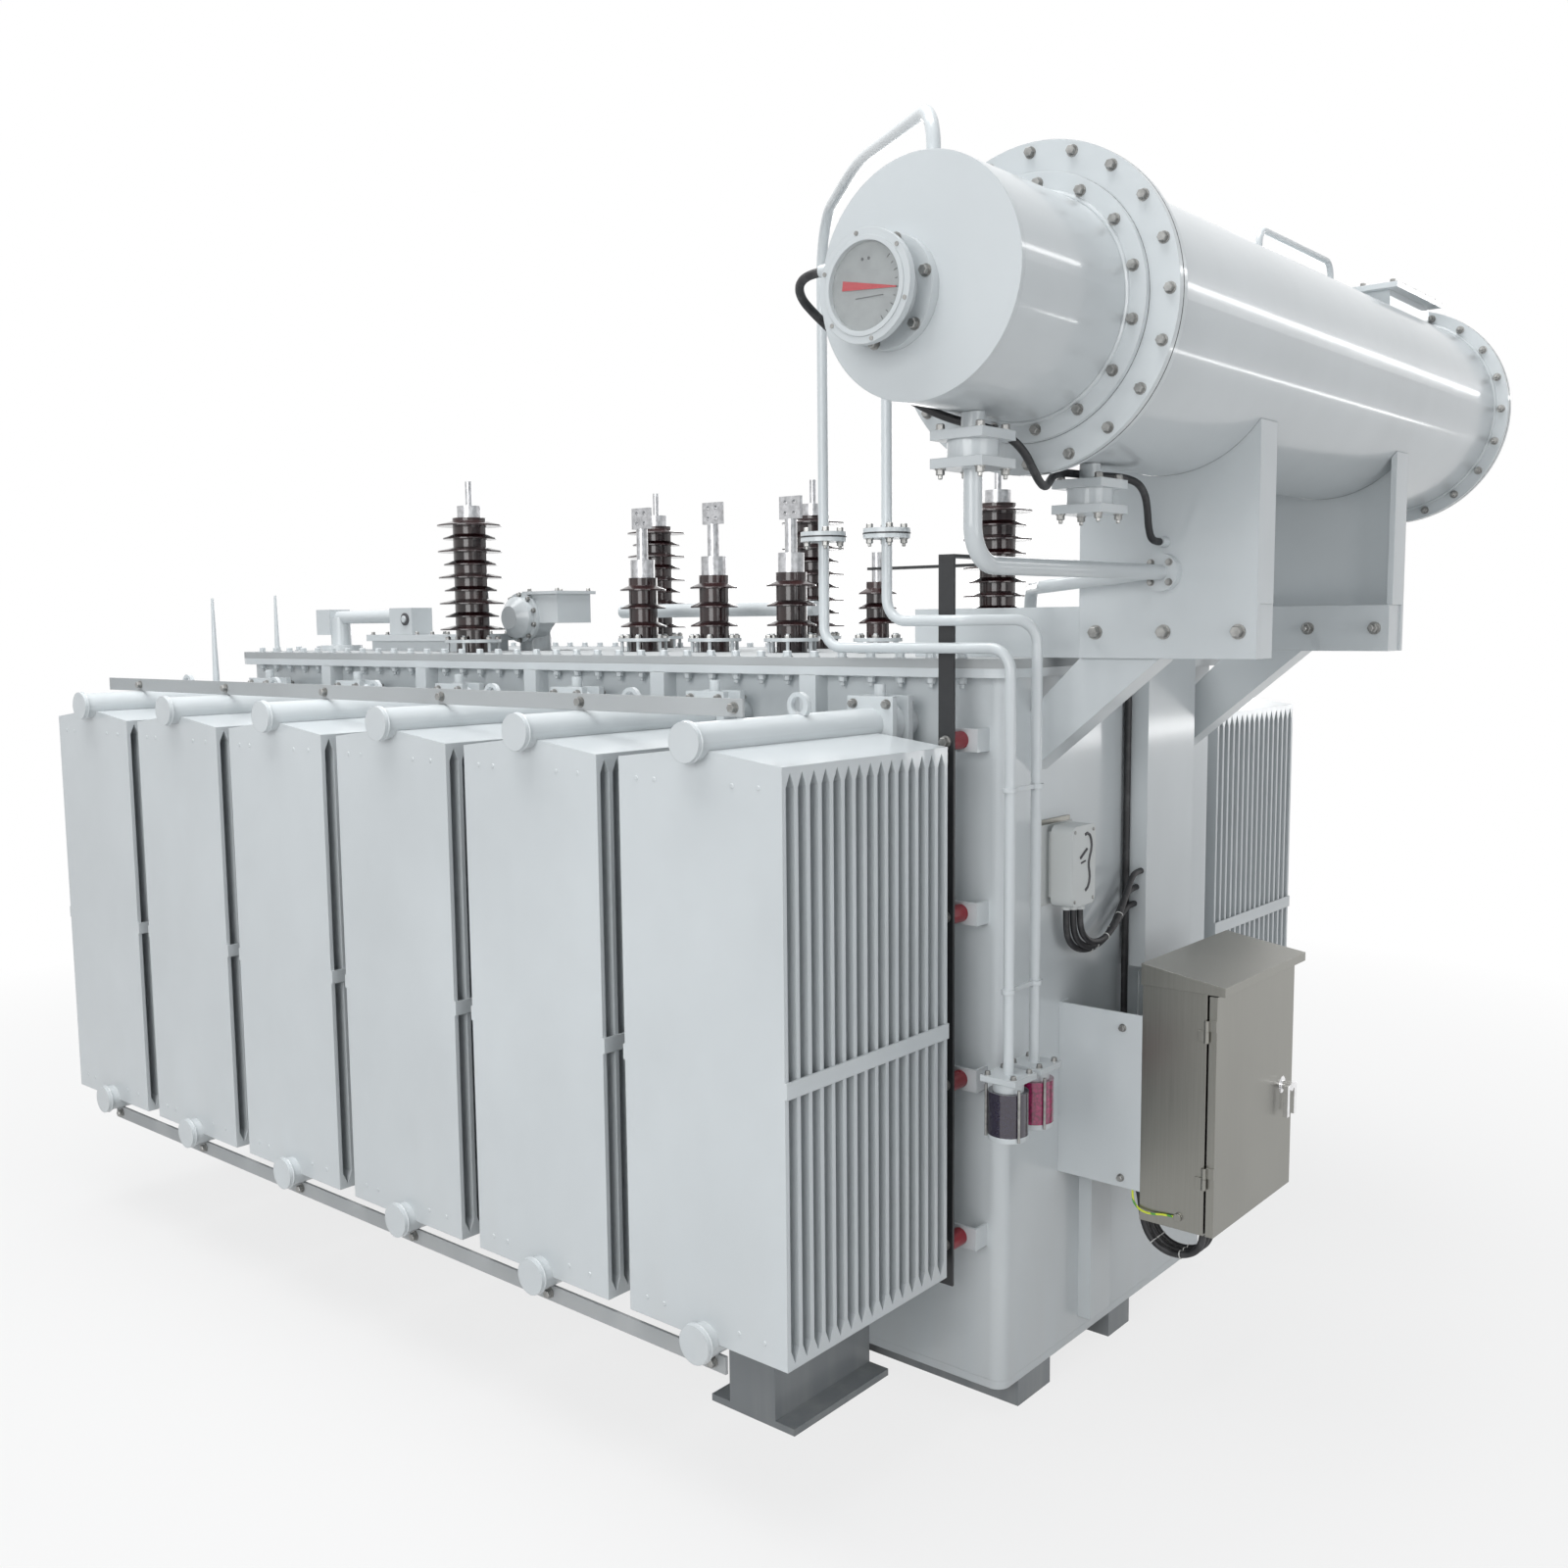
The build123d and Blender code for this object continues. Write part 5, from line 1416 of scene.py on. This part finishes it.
@dataclass
class Support:
    """Bolts of the conservator's support and of the pipes' flanges; sizes in metres."""

    saddle_bolt: float = 0.03
    saddle_xs: tuple[float, ...] = (2.02, 2.207, 2.40)
    arm_z: float = 2.144
    arm_inner: float = 0.42
    flange_bolts: int = 4
    flange_turn: float = math.radians(45)
    pipe_bolt: float = 0.018
    pipe_circle: float = 0.045
    pipe_radius: float = 0.014
    drop_x: float = 1.9265
    pipe_ys: tuple[float, float] = (-0.785, -0.654)
    foot_xs: tuple[float, float] = (1.339, 1.55)
    pipe_flange: float = 0.062
    pipe_flange_z: float = 2.405
    flange_half: float = 0.013
    gasket_proud: float = 0.0006
    gasket_half: float = 0.002
    clamp_zs: tuple[float, float] = (1.755, 1.243)
    clamp_half: float = 0.006
    clamp_thick: float = 0.004
    oil_flange: Point = (2.207, -0.552, 2.29)
    line_foot: Point = (1.72, -0.346, 2.104)
    oil_circle: float = 0.034
    oil_bolt: float = 0.015
    valve_bolt: float = 0.018
    valve_bolt_half: float = 0.047
    valve_half: float = 0.062
    valve_height: float = 0.076

    def build(self) -> None:
        """Make the support's and the pipes' small pieces."""
        self.saddle_bolts()
        self.pipe_bolts()
        self.pipe_clamps()
        self.pipe_gaskets()
        self.valve_bolts()

    def saddle_bolts(self) -> None:
        """Bolts through the saddles and the arms."""
        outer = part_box("support_saddles")[1].y
        bolts = Mesh("support_bolts", Coat.ZINC)
        for x in self.saddle_xs:
            for way in (FRONT, BACK):
                bolts.bolt(Vector((x, way.y * outer, self.arm_z)), way, self.saddle_bolt)
                bolts.nut(Vector((x, way.y * self.arm_inner, self.arm_z)), -way, self.saddle_bolt)
        bolts.place()

    def around(self, centre: Vector, axis: Vector, radius: float) -> list[Vector]:
        """The bolts' places on a pipe flange.

        Args:
            centre: The flange's centre.
            axis: The direction that it faces.
            radius: The bolt circle's radius.

        Returns:
            The places in order.
        """
        return circle(centre, axis, radius, self.flange_bolts, self.flange_turn)

    def pipe_bolts(self) -> None:
        """Bolts through the breather pipes' flanges and the oil pipe's ends."""
        bolts = Mesh("pipe_flange_bolts", Coat.ZINC)
        for x in self.foot_xs:
            centre = Vector((x, self.pipe_ys[0], self.pipe_flange_z))
            for foot in self.around(centre, UP, self.pipe_circle):
                bolts.bolt(foot + UP * self.flange_half, UP, self.pipe_bolt)
                bolts.nut(foot + DOWN * self.flange_half, DOWN, self.pipe_bolt)
        for centre, way in ((self.oil_flange, FRONT), (self.line_foot, UP)):
            for foot in self.around(Vector(centre), way, self.oil_circle):
                bolts.bolt(foot, way, self.oil_bolt)
        bolts.place()

    def pipe_clamps(self) -> None:
        """Straps between the two upright pipes."""
        reach, thick, half = self.pipe_radius + self.clamp_thick, self.clamp_thick, self.clamp_half
        near, far = self.pipe_ys
        clamps = Mesh("pipe_clamps", Coat.TANK)
        for z in self.clamp_zs:
            low = (self.drop_x - thick, near, z - half)
            clamps.slab(low, (self.drop_x + thick, far, z + half))
            for y in self.pipe_ys:
                clamps.lathe(Vector((self.drop_x, y, z)), UP, [(reach, -half), (reach, half)], 24)
        clamps.place()

    def pipe_gaskets(self) -> None:
        """Dark lines between the breather pipes' flanges."""
        reach = self.pipe_flange + self.gasket_proud
        profile = [(reach, -self.gasket_half), (reach, self.gasket_half)]
        gaskets = Mesh("pipe_gaskets", Coat.BLACK)
        for x in self.foot_xs:
            gaskets.lathe(Vector((x, self.pipe_ys[0], self.pipe_flange_z)), UP, profile, 48)
        gaskets.place()

    def valve_bolts(self) -> None:
        """Corner bolts of the two valves under the conservator."""
        low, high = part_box("conservator_valves")
        x, half = middle("conservator_valves").x, self.valve_bolt_half
        pipe_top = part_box("oil_pipe")[1].z
        bolts = Mesh("conservator_valve_bolts", Coat.ZINC)
        for y, z in ((low.y + self.valve_half, pipe_top), (high.y - self.valve_half, low.z)):
            for seat in corners(Vector((x, y, z)), OUT * half, BACK * half):
                bolts.nut(seat, DOWN, self.valve_bolt)
                bolts.bolt(seat + UP * self.valve_height, UP, self.valve_bolt)
        bolts.place()


@dataclass
class EndWall:
    """Bolts of the earthing bar and of the cabinet's brackets; sizes in metres."""

    bar_zs: tuple[float, ...] = (0.514, 0.954, 1.406, 1.866)
    bar_bolt: float = 0.026
    bracket_zs: tuple[float, ...] = (0.645, 1.068)
    bracket_inset: float = 0.058
    bracket_bolt: float = 0.018

    def build(self) -> None:
        """Make the bolts on the wall."""
        self.bar()
        self.brackets()

    def bar(self) -> None:
        """Bolts that hold the earthing bar to its insulators."""
        x, y = middle("bar_insulators").x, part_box("earth_bar")[0].y
        bolts = Mesh("earth_bar_bolts", Coat.ZINC)
        for z in self.bar_zs:
            bolts.bolt(Vector((x, y, z)), FRONT, self.bar_bolt)
        bolts.place()

    def brackets(self) -> None:
        """Bolts on the cabinet's brackets."""
        low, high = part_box("cabinet_brackets")
        x = high.x - self.bracket_inset
        bolts = Mesh("cabinet_bracket_bolts", Coat.ZINC)
        for z in self.bracket_zs:
            for y, way in ((low.y, FRONT), (high.y, BACK)):
                bolts.bolt(Vector((x, y, z)), way, self.bracket_bolt)
        bolts.place()


@dataclass
class Thermometer:
    """The thermometer's curved slot, pointers, back plate and screws; sizes in metres."""

    gland: float = 0.014
    slot: Profile = (
        (0.004, 0.084), (0.017, 0.087), (0.029, 0.081), (0.037, 0.068), (0.040, 0.052),
        (0.037, 0.036), (0.030, 0.022), (0.025, 0.008), (0.025, -0.006), (0.029, -0.020),
        (0.031, -0.034), (0.028, -0.050), (0.020, -0.063), (0.008, -0.070),
    )
    slot_radius: float = 0.0042
    pointer_lift: float = 0.001
    pointers: tuple[tuple[Profile, float], ...] = (
        (((-0.022, 0.022), (0.014, 0.044)), 0.0034),
        (((-0.016, 0.008), (0.006, 0.012)), 0.0024),
    )
    plate_thick: float = 0.006
    plate_out: float = 0.042
    plate_in: float = 0.01
    plate_foot: float = 0.02
    plate_top: float = 0.014
    screw_half: tuple[float, float] = (0.05, 0.095)
    screw_profile: Profile = ((0.005, -0.001), (0.005, 0.002), (0.003, 0.003))

    def build(self) -> None:
        """Make the thermometer's small pieces."""
        low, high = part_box("thermometer")
        centre = Vector((high.x, (low.y + high.y) / 2, (low.z + self.gland + high.z) / 2))
        slot = Mesh("thermometer_slot", Coat.MARK)
        slot.bead([centre + Vector((0, y, z)) for y, z in self.slot], OUT, self.slot_radius)
        slot.place()
        pointer = Mesh("thermometer_pointer", Coat.MARK)
        for ends, radius in self.pointers:
            line = [centre + Vector((self.pointer_lift, y, z)) for y, z in ends]
            pointer.bead(line, OUT, radius)
        pointer.place()
        plate = Mesh("thermometer_plate", Coat.STAINLESS)
        foot = (low.x, low.y - self.plate_out, low.z + self.plate_foot)
        plate.slab(foot, (low.x + self.plate_thick, high.y - self.plate_in, high.z + self.plate_top))
        plate.place()
        screws = Mesh("thermometer_screws", Coat.ZINC)
        across, along = self.screw_half
        for seat in corners(centre, BACK * across, UP * along):
            screws.lathe(seat, OUT, self.screw_profile, 10)
        screws.place()


@dataclass
class Breathers:
    """Screws and rods of the two breathers; sizes in metres."""

    head_half: float = 0.052
    bolt_half: float = 0.038
    bolt_width: float = 0.014
    rods: int = 3
    rod_circle: float = 0.056
    rod_radius: float = 0.004
    rod_low: float = 0.004
    rod_high: float = 0.14

    def build(self) -> None:
        """Make the screws on the flanges and the rods round the cups."""
        low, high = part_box("breather_heads")
        half = self.bolt_half
        middles = (
            (high.x - self.head_half, low.y + self.head_half),
            (low.x + self.head_half, high.y - self.head_half),
        )
        rod = [(self.rod_radius, self.rod_low), (self.rod_radius, self.rod_high)]
        bolts = Mesh("breather_bolts", Coat.ZINC)
        for x, y in middles:
            for seat in corners(Vector((x, y, high.z)), OUT * half, BACK * half):
                bolts.bolt(seat, UP, self.bolt_width)
            for foot in circle(Vector((x, y, low.z)), UP, self.rod_circle, self.rods):
                bolts.lathe(foot, UP, rod, 8)
        bolts.place()


@dataclass
class Cabinet:
    """The rose of the cabinet's handle; sizes in metres."""

    rose_radius: float = 0.024
    rose_sink: float = 0.001
    rose_thick: float = 0.0013
    spindle_drop: float = 0.013

    def build(self) -> None:
        """Make the rose, which rides on the door."""
        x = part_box("cabinet_door")[1].x - self.rose_sink
        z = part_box("cabinet_handle")[1].z - self.spindle_drop
        profile = [(self.rose_radius, 0), (self.rose_radius, self.rose_thick)]
        rose = Mesh("handle_rose", Coat.HANDLE)
        rose.lathe(Vector((x, middle("cabinet_handle").y, z)), OUT, profile, 24)
        rose.place(DOOR_BODY)


@dataclass
class Lead:
    """One flexible lead, with its route in metres."""

    name: str
    node: str
    diameter: float
    length: float
    coat: Coat
    points: tuple[Point, ...]
    ties: tuple[float, ...] = ()
    tie_gap: float = 0.0008
    tie_radius: float = 0.0016

    def tie_rings(self, line: Sequence[Vector]) -> list[bpy.types.Object]:
        """Make the pale ties round the lead.

        Args:
            line: Points along the lead's smooth line.

        Returns:
            The ties as one piece, or nothing.
        """
        if not self.ties:
            return []
        rings = Mesh(f"{self.name}_ties", Coat.TIE)
        for share in self.ties:
            at = round(share * (len(line) - 1))
            way = (line[at + 1] - line[at - 1]).normalized()
            ring = circle(line[at], way, self.diameter / 2 + self.tie_gap, 20)
            rings.bead(ring, way, self.tie_radius, True)
        return [rings.place()]

    def build(self) -> None:
        """Make the lead as one smooth line and say what it is."""
        data = bpy.data.curves.new(self.name, "CURVE")
        data.dimensions = "3D"
        data.resolution_u = 8
        spline = data.splines.new("NURBS")
        spline.points.add(len(self.points) - 1)
        for slot, point in zip(spline.points, self.points):
            slot.co = (*point, 1.0)
        spline.order_u = 3
        spline.use_endpoint_u = True
        data.materials.append(WORKSHOP.material(self.coat))
        made = bpy.data.objects.new(self.name, data)
        bpy.context.scene.collection.objects.link(made)
        bare = bpy.data.meshes.new_from_object(made)
        line = [vertex.co.copy() for vertex in bare.vertices]
        bpy.data.meshes.remove(bare)
        data.bevel_depth = self.diameter / 2
        data.bevel_resolution = 5
        data.use_fill_caps = True
        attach(made, FIXED_BODY)
        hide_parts(self.node)
        self.tie_rings(line)
        LOG.info("%s: lead of %.2f m", self.name, self.length)


@dataclass
class Leads:
    """The leads of the gauge, the thermometer and the cabinet, in metres."""

    cable: float = 0.018
    conduit: float = 0.02
    wire: float = 0.006
    gauge_length: float = 1.51
    thermometer_lengths: tuple[float, ...] = (0.52, 0.513, 0.51)
    thermometer_ties: tuple[float, ...] = (0.42, 0.6)
    conduit_length: float = 0.612
    conduit_ties: tuple[float, ...] = (0.2, 0.36)
    earth_length: float = 0.156
    gauge: tuple[Point, ...] = (
        (2.0357, -1.660, 2.846), (2.004, -1.660, 2.846), (1.966, -1.644, 2.836), (1.942, -1.608, 2.818),
        (1.938, -1.562, 2.796), (1.947, -1.516, 2.768), (1.965, -1.474, 2.732), (1.993, -1.437, 2.690),
        (2.033, -1.403, 2.648), (2.083, -1.375, 2.612), (2.139, -1.353, 2.586), (2.194, -1.326, 2.570),
        (2.228, -1.286, 2.552), (2.242, -1.248, 2.522), (2.242, -1.212, 2.486), (2.233, -1.170, 2.464),
        (2.218, -1.122, 2.460), (2.198, -1.074, 2.474), (2.178, -1.022, 2.494), (2.167, -0.966, 2.505),
        (2.165, -0.906, 2.507), (2.170, -0.846, 2.506), (2.184, -0.788, 2.508), (2.200, -0.732, 2.507),
        (2.212, -0.684, 2.498), (2.217, -0.656, 2.472), (2.216, -0.641, 2.435), (2.212, -0.628, 2.399),
        (2.208, -0.606, 2.372), (2.207, -0.582, 2.364), (2.207, -0.5563, 2.364),
    )
    thermometer: tuple[tuple[Point, ...], ...] = (
        ((1.868, -0.392, 1.3857), (1.868, -0.392, 1.340), (1.864, -0.373, 1.296), (1.862, -0.328, 1.265),
         (1.862, -0.264, 1.250), (1.862, -0.196, 1.254), (1.861, -0.132, 1.274), (1.860, -0.082, 1.301),
         (1.860, -0.040, 1.328), (1.860, -0.006, 1.339), (1.860, 0.0267, 1.339)),
        ((1.880, -0.376, 1.3857), (1.880, -0.376, 1.343), (1.878, -0.357, 1.302), (1.877, -0.314, 1.273),
         (1.877, -0.256, 1.261), (1.877, -0.194, 1.269), (1.875, -0.138, 1.296), (1.872, -0.092, 1.334),
         (1.868, -0.050, 1.370), (1.866, -0.012, 1.389), (1.866, 0.0267, 1.389)),
        ((1.892, -0.360, 1.3857), (1.892, -0.360, 1.346), (1.892, -0.341, 1.309), (1.892, -0.301, 1.284),
         (1.892, -0.248, 1.275), (1.892, -0.192, 1.286), (1.891, -0.144, 1.315), (1.889, -0.104, 1.356),
         (1.886, -0.066, 1.400), (1.882, -0.036, 1.428), (1.880, -0.006, 1.439), (1.880, 0.0267, 1.439)),
    )
    conduit_ys: tuple[float, ...] = (-0.262, -0.236, -0.210)
    conduit_route: Profile = (
        (2.225, 0.5267), (2.225, 0.492), (2.207, 0.458), (2.174, 0.438), (2.135, 0.432), (2.097, 0.441),
        (2.066, 0.466), (2.049, 0.504), (2.042, 0.546), (2.035, 0.590), (2.017, 0.632), (1.984, 0.665),
        (1.942, 0.685), (1.898, 0.692), (1.858, 0.690), (1.8203, 0.690),
    )
    earth: tuple[Point, ...] = (
        (2.1767, -0.346, 0.575), (2.150, -0.346, 0.575), (2.118, -0.351, 0.569), (2.088, -0.352, 0.570),
        (2.064, -0.346, 0.580), (2.052, -0.338, 0.597), (2.052, -0.338, 0.6177),
    )

    def build(self) -> None:
        """Make every lead."""
        cable, conduit, wire = self.cable, self.conduit, self.wire
        Lead("gauge_lead", "gauge_cable", cable, self.gauge_length, Coat.CABLE, self.gauge).build()
        for index, route in enumerate(self.thermometer):
            name, node = f"thermometer_lead_{index + 1}", f"thermometer_cable_{index + 1}"
            length = self.thermometer_lengths[index]
            Lead(name, node, cable, length, Coat.CABLE, route, self.thermometer_ties).build()
        for index, y in enumerate(self.conduit_ys, 1):
            name, node = f"cabinet_lead_{index}", f"cabinet_conduit_{index}"
            route = tuple((x, y, z) for x, z in self.conduit_route)
            length = self.conduit_length
            Lead(name, node, conduit, length, Coat.CABLE, route, self.conduit_ties).build()
        Lead("earth_lead", "earth_wire", wire, self.earth_length, Coat.WIRE, self.earth).build()


@dataclass(frozen=True)
class Lamp:
    """A soft rectangular lamp; places in metres, power in watts."""

    name: str
    place: Point
    target: Point
    power: float
    size: tuple[float, float]

    def hang(self) -> None:
        """Put the lamp in the scene, aimed at its target."""
        data = bpy.data.lights.new(self.name, "AREA")
        data.energy = self.power
        data.shape = "RECTANGLE"
        data.size, data.size_y = self.size
        lamp = bpy.data.objects.new(self.name, data)
        lamp.location = self.place
        aim = Vector(self.target) - Vector(self.place)
        lamp.rotation_euler = aim.to_track_quat("-Z", "Y").to_euler()
        lamp.visible_camera = False
        bpy.context.scene.collection.objects.link(lamp)


@dataclass
class Studio:
    """Floor, light and camera; lengths in metres."""

    place: Point = (3.8831, -3.9764, 2.1771)
    yaw: float = math.radians(40.15)
    pitch: float = math.radians(6.17)
    roll: float = math.radians(-0.58)
    lens: float = 34.31
    sensor: float = 36.0
    clip_end: float = 200.0
    floor_half: float = 40.0
    floor_tone: Color = (0.5, 0.5, 0.5)
    floor_roughness: float = 0.9
    floor_glow: float = 0.78
    fade_start: float = 2.6
    fade_end: float = 6.0
    ambient: float = 0.3
    ambient_tone: Color = (0.86, 0.93, 1.0)
    lamps: tuple[Lamp, ...] = (
        Lamp("key_lamp", (3.0, -8.5, 3.8), (0.8, 0.0, 1.3), 290.0, (5.0, 4.0)),
        Lamp("side_lamp", (9.0, -2.5, 2.2), (1.8, 0.0, 0.8), 110.0, (4.0, 3.0)),
        Lamp("top_lamp", (-0.2, -2.0, 10.0), (0.2, -0.9, 1.5), 1000.0, (9.0, 6.0)),
        Lamp("back_lamp", (-4.5, 9.0, 4.0), (0.0, 0.0, 1.3), 240.0, (6.0, 4.0)),
        Lamp("strip_high", (5.6, 9.0, 5.2), (2.2, 9.0, 2.8), 90.0, (11.0, 0.3)),
        Lamp("strip_low", (7.8, 12.5, 0.9), (2.2, 12.5, 2.8), 60.0, (10.0, 0.2)),
    )

    def build(self) -> None:
        """Make the floor, the world, the lamps and the camera."""
        bpy.context.scene.view_settings.view_transform = "Standard"
        self.floor()
        self.world()
        for lamp in self.lamps:
            lamp.hang()
        self.camera()

    def floor(self) -> None:
        """A pale floor that keeps the object's shadow and fades to white around it."""
        graph = Graph(bpy.data.materials.new("floor_white"))
        inputs = {"Base Color": (*self.floor_tone, 1), "Roughness": self.floor_roughness}
        shader = graph.node("ShaderNodeBsdfPrincipled", None, inputs)
        glow = graph.node("ShaderNodeEmission", None, {"Color": WHITE, "Strength": 1.0})
        x, y = graph.place("X"), graph.place("Y")
        far = (x * x + y * y).spread(self.fade_start ** 2, self.fade_end ** 2)
        share = self.shown(graph) * (self.floor_glow + (1 - self.floor_glow) * far)
        graph.close("ShaderNodeOutputMaterial", share, shader, glow)
        half = self.floor_half
        edge = [(-half, -half, 0), (half, -half, 0), (half, half, 0), (-half, half, 0)]
        data = bpy.data.meshes.new("floor")
        data.from_pydata(edge, [], [(0, 1, 2, 3)])
        data.materials.append(graph.owner)
        floor = bpy.data.objects.new("floor", data)
        bpy.context.scene.collection.objects.link(floor)

    def shown(self, graph: Graph) -> Socket:
        """Tell which rays see plain white.

        Args:
            graph: The nodes that it is for.

        Returns:
            One for rays from the camera, a mirror or glass, else zero.
        """
        path = graph.node("ShaderNodeLightPath")
        names = ("Is Camera Ray", "Is Glossy Ray", "Is Transmission Ray")
        camera, glossy, through = (Socket(graph, path.outputs[name]) for name in names)
        return camera.larger(glossy).larger(through)

    def world(self) -> None:
        """A white backdrop that lights the object softly."""
        graph = Graph(bpy.data.worlds.new("studio"))
        bpy.context.scene.world = graph.owner
        inputs = {"Color": (*self.ambient_tone, 1), "Strength": self.ambient}
        soft = graph.node("ShaderNodeBackground", None, inputs)
        white = graph.node("ShaderNodeBackground", None, {"Color": WHITE, "Strength": 1.0})
        graph.close("ShaderNodeOutputWorld", self.shown(graph), soft, white)

    def camera(self) -> None:
        """The camera at the photograph's viewing angle."""
        level = math.cos(self.pitch)
        across, along = -math.sin(self.yaw) * level, math.cos(self.yaw) * level
        ahead = Vector((across, along, -math.sin(self.pitch)))
        right = Vector((math.cos(self.yaw), math.sin(self.yaw), 0))
        up = right.cross(ahead)
        side = right * math.cos(self.roll) + up * math.sin(self.roll)
        top = up * math.cos(self.roll) - right * math.sin(self.roll)
        data = bpy.data.cameras.new("camera")
        data.lens = self.lens
        data.sensor_width = self.sensor
        data.clip_end = self.clip_end
        camera = bpy.data.objects.new("camera", data)
        turn = Matrix((side, top, -ahead)).transposed().to_4x4()
        camera.matrix_world = Matrix.Translation(self.place) @ turn
        bpy.context.scene.collection.objects.link(camera)
        bpy.context.scene.camera = camera


def dress_cad() -> None:
    """Give every CAD node the finish of its material slot, or one of its own."""
    by_slot = {coat.value.name: coat for coat in Coat}
    for subpart in frame["record"]["subparts"]:
        node = frame["nodes"][subpart["node"]]
        coat = OWN_COATS.get(subpart["node"], by_slot[subpart["material_slot"]])
        node.data.materials.clear()
        node.data.materials.append(WORKSHOP.material(coat))
        node.data.shade_smooth()
        node.data.set_sharp_from_angle(angle=PIPE_ANGLE if coat is Coat.PIPE else SHARP_ANGLE)
        LOG.info("%s: %s", subpart["node"], coat.value.name)


def main() -> None:
    """Dress the CAD nodes and build every sub-assembly in order."""
    logging.basicConfig(level=logging.INFO, format="%(name)s %(message)s")
    dress_cad()
    assemblies = (
        Conservator(), Gauge(), Radiators(), Cover(), Support(), EndWall(), Thermometer(),
        Breathers(), Cabinet(), Leads(), Studio(),
    )
    for assembly in assemblies:
        assembly.build()


if __name__ == "__main__":
    main()
